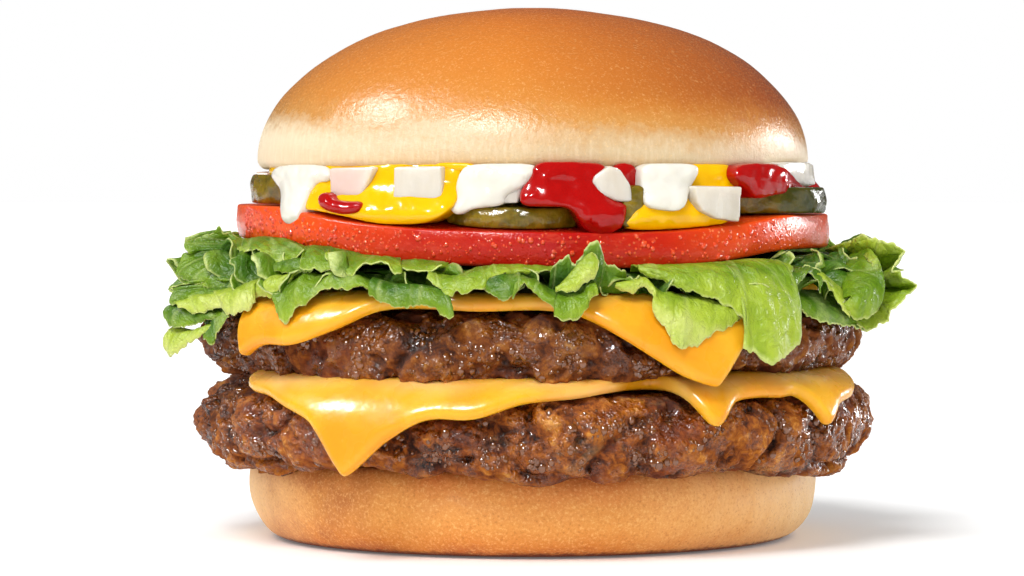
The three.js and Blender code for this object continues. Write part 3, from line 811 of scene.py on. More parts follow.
def lettuceRecipe():
    leaf = Recipe("lettuce", Subsurface_Weight=0.15, Subsurface_Scale=0.001, Specular_IOR_Level=0.22)
    leaf.shader.inputs["Subsurface Radius"].default_value = (0.9, 1.0, 0.1)
    outward = leaf.attribute("outward")
    tone = leaf.attribute("tone")
    blotch = leaf.mottle(6, 3)
    # the outward term makes every leaf darker towards its root under the tomato: painted shade
    colour = leaf.ramp(
        (tone * 0.7 + blotch * 0.6 + outward * outward * 0.24 - 0.34).clamped(),
        (0.0, srgb(20, 54, 6)),
        (0.26, srgb(62, 104, 12)),
        (0.5, srgb(112, 144, 20)),
        (0.74, srgb(162, 182, 52)),
        (1.0, srgb(210, 214, 128)),
    )
    vein = leaf.attribute("vein")
    colour = leaf.blend(vein * 0.24, colour, srgb(206, 218, 140))
    # a thin pale line along each margin: painted rim highlight
    margin = (outward + leaf.mottle(1.4, 2) * 0.06).between(0.98, 1.03)
    colour = leaf.blend(margin * 0.6, colour, srgb(218, 226, 146))
    blister = leaf.mottle(1.7, 3, 0.6, 0.5)
    leaf.bump(blister * 1.2 + leaf.mottle(4, 2) * 0.8 - vein * 0.3, 0.7, 0.9)
    return leaf.done(Base_Color=colour, Roughness=0.3 + blister * 0.24)


def pushOut(points):
    # keeps a leaf off the tomato slice and off the cheese that lies over the patty
    x, y, z = points[..., 0], points[..., 1], points[..., 2]
    reach = numpy.maximum(numpy.hypot(x, y), 1e-6)
    front = numpy.clip(-2 * y / tomato["radius"] - 1, 0, 1)
    middle = tomato["middle"] + tomato["tilt"] * x - tomato["frontDrop"] * front * front * (3 - 2 * front)
    half = tomato["thickness"] / 2 + 0.4
    inside = (reach < tomato["radius"] + 0.5) & (z > middle - half) & (z < middle + half)
    z[inside] = (middle - half)[inside]
    roundness = upperPatty["edge"] + 4
    core = upperPatty["radius"] - upperPatty["edge"] + 0.5
    centre = upperPatty["top"] + 2.6 * gap + cheese["thickness"] - roundness
    outX = numpy.maximum(0, reach - core)
    outZ = numpy.maximum(0, z - centre)
    length = numpy.maximum(numpy.hypot(outX, outZ), 1e-6)
    held = (length < roundness) & (z > upperPatty["under"] - 2)
    grow = numpy.where(held, roundness / length, 1)
    newReach = numpy.where(outX > 0, core + outX * grow, reach)
    z[:] = numpy.where(held, centre + outZ * grow, z)
    x *= newReach / reach
    y *= newReach / reach


def smoothed(field, width):
    # running mean along both ways of a grid of points
    for axis in (0, 1):
        pad = [(0, 0)] * field.ndim
        pad[axis] = (width + 1, width)
        total = numpy.cumsum(numpy.pad(field, pad, mode="edge"), axis=axis)
        size = field.shape[axis]
        high = numpy.take(total, range(2 * width + 1, 2 * width + 1 + size), axis=axis)
        low = numpy.take(total, range(0, size), axis=axis)
        field = (high - low) / (2 * width + 1)
    return field


def growRuffles(start, outward, growth, rounds=260):
    # the margin is grown along its length until it buckles into ruffles, held near its first shape
    points = start.copy()
    free = numpy.clip(outward * 4, 0, 1)[..., None]
    links = []
    stretch = 1 + growth * outward ** 2.2
    for rowStep, columnStep, stiff in ((1, 0, 1), (0, 1, 1), (1, 1, 0.5), (1, -1, 0.5), (2, 0, 0.3), (0, 2, 0.4), (5, 0, 0.25), (0, 5, 0.25)):
        rows, columns = start.shape[:2]
        first = (slice(0, rows - rowStep), slice(max(0, -columnStep), columns - max(0, columnStep)))
        second = (slice(rowStep, rows), slice(max(0, columnStep), columns - max(0, -columnStep)))
        length = numpy.linalg.norm(start[second] - start[first], axis=-1)
        if rowStep:
            factor = (stretch[first] + stretch[second]) / 2
            if columnStep:
                factor = numpy.sqrt((factor ** 2 + 1) / 2)
            length = length * factor
        links.append((first, second, length, stiff))
    for turn in range(rounds):
        push = numpy.zeros_like(points)
        count = numpy.full(points.shape[:2], 1e-6)
        for first, second, length, stiff in links:
            away = points[second] - points[first]
            now = numpy.maximum(numpy.linalg.norm(away, axis=-1), 1e-6)
            fix = away * ((now - length) / now * 0.5 * stiff)[..., None]
            push[first] += fix
            push[second] -= fix
            count[first] += stiff
            count[second] += stiff
        points += 1.6 * push / count[..., None] * free
        points += 0.06 * smoothed(start - points, 6) * free
        points[..., 2] -= 0.004 * outward
        pushOut(points)
    return points


def finer(field, times, axis):
    # smooth curve through every point of a grid, along one way of it
    field = numpy.moveaxis(field, axis, 0)
    count = field.shape[0]
    spot = numpy.linspace(0, count - 1, (count - 1) * times + 1)
    base = numpy.minimum(spot.astype(int), count - 2)
    t = (spot - base).reshape(-1, *([1] * (field.ndim - 1)))
    p0, p1 = field[numpy.maximum(base - 1, 0)], field[base]
    p2, p3 = field[base + 1], field[numpy.minimum(base + 2, count - 1)]
    curve = p1 + 0.5 * t * (p2 - p0 + t * (2 * p0 - 5 * p1 + 4 * p2 - p3 + t * (3 * (p1 - p2) + p3 - p0)))
    return numpy.moveaxis(curve, 0, axis)


def makeLeaf(name, node, margin, start, end, phase, growth, fray, material):
    inner, hem = leafSize["inner"], leafSize["hem"]
    cheeseTop = upperPatty["top"] + 2.6 * gap + cheese["thickness"]
    columns = round((end - start) / leafSize["columnStep"])
    rows = leafSize["rows"]
    times = leafSize["refine"]
    outwards, veins = [], []

    def between(angle, radius):
        spot = polar(angle, radius, 0)
        under = tomatoMiddle(spot.x, spot.y) - tomato["thickness"] / 2 - gap
        sway = 0.5 + 0.5 * wave(angle, 11, phase + radius / 9)
        return lerp(cheeseTop, under, lerp(*margin["share"], sway))

    def lay(u, v):
        angle = lerp(start, end, u)
        if v <= 0:
            radius = lerp(hem, inner, -v / 0.15)
            return polar(angle, radius, between(angle, radius))
        sides = smooth(0, 0.06, u) * smooth(0, 0.06, 1 - u)
        tooth = abs(noise.noise(Vector((angle * 0.8, 4, phase))))
        jag = fray * (1.5 * noise.noise(Vector((angle * 0.2, 0, phase))) + 2.2 * (tooth - 0.25))
        reach = margin["reach"] + lobesAt(margin["lobes"], angle) + jag - 3 * (1 - sides)
        height = margin["height"] + lobesAt(margin["lobes"], angle, 3)
        begin = between(angle, hem)
        bow = v * math.pi / 2
        outX, outZ = math.cos(bow) * (reach - hem), math.sin(bow) * (height - begin)
        length = math.hypot(outX, outZ) or 1
        coarse = 1.6 * noise.noise(Vector((angle * 0.085, v * 0.4, phase)))
        middling = 2.4 * noise.noise(Vector((angle * 0.19, v * 0.5, phase + 11)))
        away = margin["ruffle"] * (0.3 + coarse) * v ** 1.2 + 1.5 * middling * v ** 1.4
        radius = hem + (reach - hem) * math.sin(bow) - away * outZ / length
        z = begin + (height - begin) * (1 - math.cos(bow)) + away * outX / length
        return polar(angle, radius, z)

    shares = [lerp(-0.15, 1, row / rows) for row in range(rows + 1)]
    points = numpy.array([[lay(column / columns, share) for share in shares] for column in range(columns + 1)])
    outward = numpy.tile(numpy.maximum(0, shares), (columns + 1, 1))
    grown = finer(finer(growRuffles(points, outward, growth), times, 0), times, 1)

    # small teeth along the margin and blisters between the veins
    piece = sheet(name, columns * times, rows * times)
    along = numpy.gradient(grown, axis=1)
    along /= numpy.maximum(numpy.linalg.norm(along, axis=2, keepdims=True), 1e-9)
    across = numpy.gradient(grown, axis=0)
    across /= numpy.maximum(numpy.linalg.norm(across, axis=2, keepdims=True), 1e-9)
    normal = numpy.cross(across, along)
    for column in range(columns * times + 1):
        angle = lerp(start, end, column / columns / times)
        bite = fray * (0.9 * noise.noise(Vector((angle * 1.1, 2, phase))) + 0.55 * noise.noise(Vector((angle * 2.7, 8, phase))))
        for row in range(rows * times + 1):
            share = max(0, lerp(-0.15, 1, row / rows / times))
            lean = 3.5 * noise.noise(Vector((angle * 0.08, share * 1.5, phase)))
            fan = abs(wave(angle + lean, 36, phase))
            side = abs(wave(angle + lean - 14 * share, 90, phase))
            vein = (1 - fan) ** 4 * (1 - 0.6 * share) + 0.5 * (1 - side) ** 4 * share
            veins.append(vein)
            outwards.append(share)
            puff = 0.28 * noise.noise(Vector((angle * 0.45, share * 5, phase + 20))) - 0.12 * vein
            shift = along[column, row] * bite * share ** 6 + normal[column, row] * puff * min(1, share * 4)
            grown[column, row] += shift
    order = grown.transpose(1, 0, 2)
    piece.data.vertices.foreach_set("co", (order * mm).ravel())
    piece.data.update()
    grid = (columns * times + 1, rows * times + 1)
    paint(piece, "outward", numpy.array(outwards).reshape(grid).T.ravel())
    paint(piece, "vein", numpy.array(veins).reshape(grid).T.ravel())
    paint(piece, "tone", numpy.full(grid[0] * grid[1], 0.3))
    applied(piece, "SOLIDIFY", thickness=leafSize["thickness"] * mm, offset=0)
    return finishPiece(piece, material, "lettuce", node)


# flaps that show at the front: node, tone, bulge, the line where a flap leaves the stack and its margin,
# each line as rows of angle, radius and height
leafFlaps = {
    "leafFlap_1": ("lettuce_upper_left", 0.46, 0.6, [
        (195.5, 50.0, 52.5), (203.8, 51.0, 50.2), (209.7, 52.5, 47.6), (211.3, 54.0, 45.0),
    ], [
        (194.0, 51.5, 52.8), (198.5, 54.5, 53.1), (198.9, 56.0, 53.1), (199.2, 56.6, 54.5),
        (198.7, 57.0, 53.3), (197.6, 59.0, 52.6), (197.1, 61.5, 51.5), (197.7, 62.0, 50.7),
        (199.5, 61.6, 49.5), (197.6, 62.5, 49.3), (198.2, 63.0, 48.0), (198.7, 64.0, 46.5),
        (199.0, 64.6, 45.6), (201.6, 64.0, 45.4), (204.2, 63.0, 44.4), (208.1, 60.5, 43.7),
        (212.4, 58.0, 43.4),
    ]),
    "leafFlap_2": ("lettuce_lower_left", 0.52, 0.5, [
        (210.5, 54.0, 44.8), (212.1, 54.6, 44.2), (212.9, 55.0, 43.4),
    ], [
        (213.4, 57.0, 44.8), (211.7, 58.0, 45.2), (209.9, 59.5, 45.4), (206.3, 61.5, 45.6),
        (204.6, 63.5, 45.1), (202.9, 65.0, 44.2), (200.7, 66.0, 43.5), (202.9, 65.5, 43.4),
        (202.3, 66.0, 42.2), (202.6, 66.3, 41.0), (205.5, 64.6, 41.6), (210.8, 61.8, 42.6),
        (215.4, 58.6, 43.5),
    ]),
    "leafFlap_3": ("lettuce_lower_left", 0.95, 0.7, [
        (200.4, 65.2, 41.3), (203.3, 63.0, 42.2), (208.4, 60.6, 43.3), (213.5, 58.6, 44.3),
        (218.2, 57.2, 45.5), (224.4, 57.0, 46.3), (229.3, 56.6, 47.6),
    ], [
        (206.3, 66.0, 40.8), (208.4, 65.0, 40.2), (209.7, 64.4, 39.8), (210.9, 63.2, 40.4),
        (213.5, 62.2, 41.0), (215.6, 62.6, 39.8), (217.3, 62.4, 39.6), (220.0, 62.0, 40.4),
        (220.8, 61.2, 41.5), (221.6, 60.8, 42.2), (220.6, 60.6, 42.7), (222.6, 60.4, 42.9),
        (224.8, 60.4, 43.0), (226.3, 60.0, 44.0), (227.6, 59.0, 45.3), (228.9, 57.6, 46.9),
    ]),
    "leafFlap_4": ("lettuce_lower_left", 0.42, 0.8, [
        (203.5, 62.0, 40.8), (206.9, 60.5, 40.9), (209.3, 59.0, 40.5), (212.4, 58.0, 39.4),
    ], [
        (203.5, 65.4, 41.2), (202.2, 66.5, 40.3), (202.1, 67.0, 39.2), (203.5, 66.8, 37.9),
        (205.5, 66.0, 37.3), (208.0, 65.0, 37.7), (210.0, 63.6, 38.4), (211.5, 62.4, 39.1),
        (213.7, 61.4, 38.8), (215.2, 60.0, 38.5),
    ]),
    "leafFlap_5": ("lettuce_lower_left", 1.0, 0.3, [
        (203.9, 65.0, 37.2), (206.6, 63.6, 36.8), (208.7, 62.4, 37.3), (210.3, 61.0, 38.4),
    ], [
        (203.0, 66.6, 36.7), (201.7, 67.2, 34.4), (203.7, 67.4, 32.5), (205.3, 67.2, 32.4),
        (206.7, 66.2, 33.6), (208.4, 65.2, 35.0), (210.0, 64.0, 36.2), (211.6, 62.8, 37.3),
        (212.8, 61.6, 38.0),
    ]),
    "leafFlap_6": ("lettuce_lower_left", 0.5, 0.4, [
        (207.7, 61.2, 37.8), (209.8, 60.0, 38.7), (212.1, 58.6, 39.4),
    ], [
        (209.2, 63.4, 36.4), (210.7, 63.6, 35.3), (212.6, 63.2, 34.8), (213.1, 62.2, 36.0),
        (214.3, 61.2, 37.2), (215.2, 60.0, 38.5),
    ]),
    "leafFlap_7": ("lettuce_upper_left", 0.55, -0.5, [
        (180.8, 51.2, 52.6), (207.3, 51.5, 52.8), (217.3, 52.0, 52.5), (223.9, 52.6, 51.2),
    ], [
        (203.0, 55.4, 51.9), (206.7, 56.4, 50.7), (212.7, 57.4, 49.8), (215.7, 57.6, 50.7),
        (218.2, 57.8, 50.4), (220.1, 57.8, 49.4), (222.3, 57.8, 48.5), (224.4, 57.6, 48.5),
        (227.1, 57.2, 49.5), (227.8, 56.0, 50.7),
    ]),
    "leafFlap_8": ("lettuce_upper_left", 0.4, 0.4, [
        (213.1, 53.0, 49.1), (219.1, 53.4, 48.8), (224.0, 53.6, 49.6), (228.2, 53.6, 48.7),
    ], [
        (221.2, 59.0, 45.6), (220.4, 59.2, 47.0), (221.2, 59.0, 48.0), (223.3, 58.6, 47.2),
        (226.5, 58.4, 46.9), (229.0, 58.2, 47.1), (231.9, 58.0, 47.3),
    ]),
    "leafFlap_9": ("lettuce_upper_left", 0.5, -0.4, [
        (222.8, 52.0, 51.2), (226.1, 52.0, 51.4), (229.8, 52.0, 51.3),
    ], [
        (228.7, 57.6, 49.4), (229.2, 58.4, 47.6), (232.0, 58.6, 47.3), (234.7, 58.6, 47.4),
        (237.2, 58.4, 47.4),
    ]),
    "leafFlap_10": ("lettuce_upper_left", 0.62, -0.7, [
        (228.6, 51.6, 51.4), (233.3, 51.6, 50.8), (237.8, 51.6, 50.1), (242.1, 51.6, 49.8),
        (245.2, 51.6, 49.6),
    ], [
        (233.3, 56.8, 50.1), (235.2, 58.2, 48.5), (238.0, 59.0, 47.4), (240.6, 59.6, 46.5),
        (241.2, 59.0, 47.6), (242.3, 58.0, 48.8), (244.3, 57.6, 49.1), (246.2, 58.2, 48.5),
        (247.1, 59.0, 47.5), (248.5, 59.4, 46.8), (249.1, 59.0, 47.2), (247.8, 57.2, 48.6),
    ]),
    "leafFlap_11": ("lettuce_upper_left", 0.6, -0.7, [
        (245.9, 52.0, 49.2), (249.4, 52.0, 49.4), (252.5, 52.0, 49.1), (255.1, 52.0, 48.9),
    ], [
        (247.5, 57.2, 48.0), (249.3, 57.8, 47.5), (251.4, 57.8, 47.6), (253.7, 57.6, 47.6),
        (255.1, 56.6, 48.5),
    ]),
    "leafFlap_12": ("lettuce_lower_left", 0.55, 0.3, [
        (222.0, 55.0, 44.6), (225.2, 55.0, 46.3), (228.7, 55.0, 47.2), (232.4, 55.0, 46.6),
        (235.9, 55.0, 47.6), (239.9, 55.4, 46.6), (242.6, 56.0, 45.6),
    ], [
        (225.5, 61.0, 42.7), (227.0, 61.8, 40.7), (228.2, 62.2, 39.0), (229.8, 62.3, 38.5),
        (230.8, 62.0, 39.9), (231.2, 61.6, 41.5), (232.7, 61.4, 41.7), (233.8, 61.0, 42.8),
        (235.2, 60.6, 44.0), (237.4, 60.4, 44.7), (239.1, 60.4, 44.7), (240.3, 60.6, 44.3),
        (241.6, 60.6, 44.8), (243.1, 60.5, 45.1), (244.3, 60.5, 44.6), (245.1, 60.6, 43.7),
    ]),
    "leafFlap_13": ("lettuce_lower_front", 0.42, 0.3, [
        (243.8, 57.4, 46.2), (246.5, 57.8, 45.6), (248.7, 58.0, 45.3), (251.8, 58.0, 45.3),
        (254.5, 58.0, 45.0), (256.9, 59.0, 43.6),
    ], [
        (244.2, 60.6, 43.7), (246.3, 61.4, 42.6), (247.9, 61.7, 42.0), (249.1, 61.8, 41.4),
        (250.5, 61.7, 41.9), (252.3, 61.7, 42.0), (254.1, 61.7, 42.2), (255.3, 61.9, 41.8),
        (256.7, 62.2, 40.8), (258.3, 62.5, 40.0), (258.1, 62.1, 41.6), (257.4, 61.6, 43.0),
    ]),
    "leafFlap_14": ("lettuce_upper_front", 0.72, 0.2, [
        (252.5, 53.6, 47.8), (254.1, 54.6, 47.0), (256.4, 55.0, 46.7), (258.7, 54.4, 47.4),
        (260.8, 53.0, 48.1), (265.2, 52.0, 48.6), (269.6, 52.0, 48.3), (273.8, 52.0, 48.0),
    ], [
        (253.5, 59.0, 46.3), (255.0, 59.8, 45.5), (256.0, 60.4, 44.6), (257.1, 61.2, 43.2),
        (257.8, 61.0, 43.5), (258.2, 60.6, 44.6), (259.1, 61.0, 43.8), (260.2, 61.0, 44.0),
        (261.3, 60.5, 44.8), (262.4, 60.5, 44.6), (262.9, 60.0, 45.6), (263.2, 59.4, 46.7),
        (264.4, 59.0, 46.7), (265.4, 58.2, 47.2), (267.1, 57.8, 47.0), (268.7, 57.2, 47.5),
        (270.0, 57.0, 47.1), (272.1, 56.4, 47.6), (273.6, 56.2, 47.4),
    ]),
    "leafFlap_15": ("lettuce_lower_front", 0.3, 0.6, [
        (262.6, 55.0, 46.9), (265.1, 55.0, 47.2), (268.0, 55.0, 46.9),
    ], [
        (262.9, 59.8, 45.3), (263.5, 60.6, 44.0), (265.0, 61.2, 43.1), (266.7, 61.2, 43.2),
        (267.3, 60.8, 44.4), (268.3, 60.0, 45.6),
    ]),
    "leafFlap_16": ("lettuce_lower_front", 0.55, 0.6, [
        (268.5, 56.0, 46.8), (271.0, 56.0, 45.8), (273.3, 56.6, 44.5), (275.4, 57.0, 44.2),
        (277.7, 57.4, 44.9), (279.6, 57.8, 45.8),
    ], [
        (267.2, 61.4, 43.3), (267.7, 60.8, 44.7), (268.9, 60.2, 45.9), (269.8, 60.8, 45.0),
        (270.7, 61.2, 43.6), (272.1, 61.6, 42.6), (273.3, 61.9, 42.1), (273.4, 62.3, 41.0),
        (273.2, 62.6, 40.1), (274.4, 62.7, 39.9), (275.9, 62.7, 39.8), (277.1, 62.5, 40.6),
        (278.3, 62.1, 41.5), (278.2, 61.7, 42.9), (279.0, 61.5, 43.6), (279.8, 61.2, 44.2),
    ]),
    "leafFlap_17": ("lettuce_upper_front", 0.3, -0.4, [
        (272.3, 56.4, 44.5), (275.4, 56.4, 43.9), (278.7, 56.4, 44.2), (282.1, 56.2, 44.2),
        (286.2, 55.6, 43.8),
    ], [
        (273.0, 57.6, 47.6), (273.8, 58.4, 49.1), (275.0, 58.9, 49.9), (275.8, 59.1, 50.4),
        (276.1, 58.7, 48.9), (276.9, 58.7, 48.8), (277.2, 59.1, 49.8), (278.1, 59.3, 50.2),
        (278.2, 59.8, 51.5), (278.9, 60.0, 52.3), (280.2, 60.0, 52.8), (280.7, 59.6, 51.4),
        (281.5, 59.0, 49.7), (281.9, 58.5, 48.8), (283.6, 57.7, 48.2), (285.4, 56.8, 47.7),
        (286.1, 56.0, 46.4),
    ]),
    "leafFlap_18": ("lettuce_upper_front", 1.0, 0.5, [
        (278.7, 59.6, 50.4), (277.4, 59.8, 49.1), (276.3, 59.9, 47.8), (275.2, 59.9, 46.4),
        (273.7, 59.8, 44.8),
    ], [
        (279.2, 60.2, 50.7), (279.9, 60.7, 49.5), (280.0, 61.0, 47.9), (279.3, 61.3, 46.3),
        (278.1, 61.4, 45.8), (277.0, 61.5, 45.0), (275.7, 61.5, 44.5), (274.5, 61.3, 44.5),
        (273.5, 60.9, 44.5),
    ]),
    "leafFlap_19": ("lettuce_lower_front", 0.92, 0.7, [
        (284.7, 55.0, 45.4), (288.4, 55.6, 46.4), (291.5, 56.6, 44.3), (294.8, 57.4, 43.6),
        (298.1, 58.0, 43.2), (301.4, 58.8, 42.4), (304.0, 60.0, 40.9),
    ], [
        (283.2, 58.6, 45.0), (284.7, 59.2, 44.4), (286.2, 59.6, 44.1), (287.0, 59.6, 45.2),
        (287.7, 59.8, 45.2), (288.6, 60.2, 44.2), (289.0, 60.8, 43.1), (288.3, 61.4, 42.0),
        (288.6, 61.9, 40.1), (289.8, 62.3, 38.7), (290.9, 62.7, 37.2), (290.9, 63.0, 35.9),
        (292.1, 63.2, 35.1), (293.1, 63.1, 35.6), (294.9, 63.2, 35.1), (296.2, 62.9, 36.3),
        (297.7, 62.6, 37.4), (299.7, 62.4, 38.0), (302.1, 62.0, 39.2), (303.7, 61.6, 40.1),
    ]),
    "leafFlap_20": ("lettuce_upper_right", 0.78, 0.8, [
        (287.9, 52.0, 48.2), (293.7, 52.0, 48.3), (299.9, 52.0, 48.4), (306.6, 52.0, 48.7),
        (313.4, 52.6, 49.1), (318.8, 53.8, 48.7), (319.8, 56.0, 47.2),
    ], [
        (287.9, 56.0, 47.5), (290.0, 58.2, 46.4), (292.0, 59.6, 45.3), (294.8, 60.8, 44.2),
        (297.9, 61.6, 43.2), (300.2, 62.2, 42.0), (302.2, 62.7, 40.7), (303.2, 63.1, 39.1),
        (303.5, 63.5, 37.5), (302.4, 64.0, 34.9), (304.3, 64.2, 34.1), (305.6, 64.4, 32.9),
        (306.8, 64.5, 32.4), (308.8, 64.4, 32.9), (311.1, 64.1, 34.2), (312.9, 63.7, 35.6),
        (314.2, 63.3, 37.1), (314.4, 62.7, 38.9), (314.0, 62.0, 40.9), (313.7, 61.4, 42.5),
        (314.5, 60.4, 44.4), (316.5, 58.6, 46.2),
    ]),
    "leafFlap_21": ("lettuce_upper_right", 0.35, 0.5, [
        (321.8, 54.0, 47.5), (326.5, 54.0, 47.6), (333.8, 54.0, 47.2),
    ], [
        (313.8, 60.6, 45.3), (315.0, 61.0, 44.9), (317.1, 60.6, 45.7), (319.7, 60.0, 47.0),
        (320.5, 60.6, 46.1), (321.3, 61.0, 44.8), (321.0, 61.4, 43.3),
    ]),
    "leafFlap_22": ("lettuce_lower_front", 0.4, 0.5, [
        (320.6, 56.0, 43.2), (327.2, 56.5, 42.1), (335.5, 57.0, 40.8), (343.2, 59.0, 39.5),
    ], [
        (314.5, 61.0, 42.3), (315.3, 61.8, 41.0), (316.9, 62.3, 39.7), (319.4, 62.7, 38.8),
        (322.7, 63.0, 38.2), (325.8, 63.4, 37.9), (328.0, 63.8, 37.7), (330.6, 64.4, 36.6),
        (332.8, 64.6, 37.0),
    ]),
    "leafFlap_23": ("lettuce_upper_right", 0.72, -0.8, [
        (351.3, 51.6, 50.3), (359.2, 53.6, 48.4), (359.3, 55.0, 45.9), (342.8, 57.0, 43.6),
        (334.4, 59.6, 41.2),
    ], [
        (345.1, 53.4, 50.8), (341.3, 57.0, 51.7), (338.2, 60.0, 52.8), (337.5, 62.0, 52.7),
        (338.2, 64.6, 51.8), (339.0, 66.6, 51.0), (339.8, 67.4, 50.5), (337.7, 67.6, 49.0),
        (336.1, 66.8, 48.0), (334.9, 66.4, 47.2), (334.8, 66.8, 46.7), (336.3, 67.6, 46.8),
        (336.5, 68.4, 45.5), (338.3, 70.2, 44.4), (336.1, 69.6, 43.0), (334.3, 68.6, 41.4),
        (333.4, 67.6, 40.0), (333.1, 67.0, 38.5), (331.4, 66.4, 37.9), (329.1, 65.4, 36.8),
        (328.3, 63.8, 38.0),
    ]),
    "leafFlap_24": ("lettuce_upper_right", 0.62, 1.9, [
        (342.8, 57.0, 49.5), (335.1, 58.4, 47.6), (330.2, 60.0, 45.4), (328.3, 61.0, 43.8),
        (325.9, 62.0, 42.2),
    ], [
        (335.3, 61.4, 49.7), (333.0, 63.6, 48.7), (332.0, 65.0, 46.9), (331.1, 66.0, 44.8),
        (330.2, 67.0, 42.5), (329.9, 67.0, 40.0), (327.7, 66.2, 39.2), (326.0, 65.2, 38.9),
        (324.9, 64.4, 39.8), (324.3, 63.4, 41.3),
    ]),
    "leafFlap_25": ("lettuce_upper_right", 0.95, 0.3, [
        (327.0, 56.0, 46.7), (329.0, 57.6, 46.1), (329.9, 59.4, 44.4), (329.7, 61.0, 42.7),
        (328.8, 62.6, 40.8),
    ], [
        (321.3, 60.4, 45.8), (322.7, 61.0, 45.4), (323.5, 61.8, 44.1), (323.5, 62.8, 42.4),
        (323.8, 63.6, 41.0), (324.9, 64.6, 39.3),
    ]),
}


def drawnLine(rows, count, pace=None, soften=2):
    # a line through its rows as evenly paced points with softened corners
    corners = numpy.array([polar(*row) for row in rows])
    steps = numpy.diff(corners, axis=0)
    lengths = numpy.concatenate([[0], numpy.cumsum(numpy.linalg.norm(steps, axis=1))])
    spots = numpy.linspace(0, lengths[-1], count) if pace is None else pace * lengths[-1]
    points = numpy.stack([numpy.interp(spots, lengths, corners[:, k]) for k in range(3)], axis=1)
    for turn in range(soften):
        middle = (points[:-2] + 2 * points[1:-1] + points[2:]) / 4
        points[1:-1] = middle
    return points


def makeFlap(name, node, tone, bulge, root, margin, material, seed):
    rough = numpy.array([polar(*row) for row in margin])
    length = numpy.linalg.norm(numpy.diff(rough, axis=0), axis=1).sum()
    columns = round(length / 0.32)
    edge = drawnLine(margin, columns + 1)
    moves = numpy.diff(edge, axis=0)
    pace = numpy.concatenate([[0], numpy.cumsum(numpy.hypot(moves[:, 0], moves[:, 1]) + 0.2 * numpy.abs(moves[:, 2]))])
    start = drawnLine(root, columns + 1, pace / pace[-1], 12)
    rows = max(12, round(numpy.linalg.norm(edge - start, axis=1).mean() / 0.42))
    shares = numpy.linspace(0, 1, rows + 1)
    bow = shares * math.pi / 2
    grid = numpy.zeros((columns + 1, rows + 1, 3))
    for k in (0, 1):
        grid[..., k] = start[:, None, k] + (edge - start)[:, None, k] * numpy.sin(bow)
    grid[..., 2] = start[:, None, 2] + (edge - start)[:, None, 2] * (1 - numpy.cos(bow))
    reach = numpy.hypot(grid[..., 0], grid[..., 1])
    swell = bulge * numpy.sin(math.pi * shares)
    grid[..., 0] += grid[..., 0] / reach * swell
    grid[..., 1] += grid[..., 1] / reach * swell
    grid[..., 2] += 0.5 * swell
    pushOut(grid)
    along = numpy.gradient(grid, axis=1)
    along /= numpy.maximum(numpy.linalg.norm(along, axis=2, keepdims=True), 1e-9)
    across = numpy.gradient(grid, axis=0)
    across /= numpy.maximum(numpy.linalg.norm(across, axis=2, keepdims=True), 1e-9)
    normal = numpy.cross(across, along)
    veins = numpy.zeros((columns + 1, rows + 1))
    for column in range(columns + 1):
        place = column * 0.32
        bite = 0.5 * noise.noise(Vector((place * 0.8, 2, seed))) + 0.3 * noise.noise(Vector((place * 2.1, 8, seed)))
        for row in range(rows + 1):
            share = shares[row]
            depth = share * rows * 0.42
            pleat = noise.noise(Vector((place * 0.22, depth * 0.05, seed)))
            puff = noise.noise(Vector((place * 0.42, depth * 0.34, seed + 7)))
            fine = noise.noise(Vector((place * 1.0, depth * 0.8, seed + 3)))
            main = max(0, 1 - abs(noise.noise(Vector((place * 0.13, depth * 0.04, seed + 5)))) * 14)
            side = max(0, 1 - abs(noise.noise(Vector((place * 0.3, depth * 0.26, seed + 9)))) * 9)
            vein = veins[column, row] = min(1, main + 0.45 * side)
            lift = 0.8 * pleat * share + 0.5 * puff + 0.16 * fine - 0.14 * vein
            grid[column, row] += normal[column, row] * lift * min(1, share * 4)
            grid[column, row] += along[column, row] * bite * share ** 8
    piece = sheet(name, columns, rows)
    piece.data.vertices.foreach_set("co", (grid.transpose(1, 0, 2) * mm).ravel())
    piece.data.update()
    paint(piece, "outward", numpy.tile(shares, (columns + 1, 1)).T.ravel())
    paint(piece, "vein", veins.T.ravel())
    paint(piece, "tone", numpy.full(veins.size, tone))
    applied(piece, "SOLIDIFY", thickness=leafSize["thickness"] * mm, offset=0)
    return finishPiece(piece, material, "lettuce", node)


lettuce = lettuceRecipe()
for leafRow in leaves:
    makeLeaf(*leafRow, lettuce)
for number, (name, (node, tone, bulge, root, margin)) in enumerate(leafFlaps.items()):
    makeFlap(name, node, tone, bulge, root, margin, lettuce, number * 2.7)
print("lettuce laid")

# ---------- pickles

pickles = [
    ("pickle_left", -31.5, -8.5, 17, 5),
    ("pickle_front", -2.8, -37.2, 12.6, 3.4),
    ("pickle_right", 34, -14.5, 16.2, 4.4),
    ("pickle_back_right", 23.6, 20.4, 16.6, 4.6),
    ("pickle_back_left", -15.6, 26.8, 16.6, 4.4),
]


def pickleRecipe():
    brined = Recipe("pickle", Subsurface_Weight=0.2, Subsurface_Scale=0.003, Specular_IOR_Level=0.45)
    skin = brined.attribute("skin")
    cloud = brined.mottle(4, 3)
    flesh = brined.blend(cloud, srgb(156, 136, 34), srgb(112, 90, 14))
    rind = brined.blend(brined.mottle(2.6, 4, 0.6).between(0.3, 0.7), srgb(80, 70, 6), srgb(136, 112, 18))
    colour = brined.blend(skin, flesh, rind)
    colour = brined.blend(brined.across().between(36, 46) * 0.75, colour, srgb(34, 48, 10))
    brined.bump(brined.mottle(1.8, 3), 0.5, 0.7)
    return brined.done(Base_Color=colour, Roughness=0.12 + cloud * 0.2)


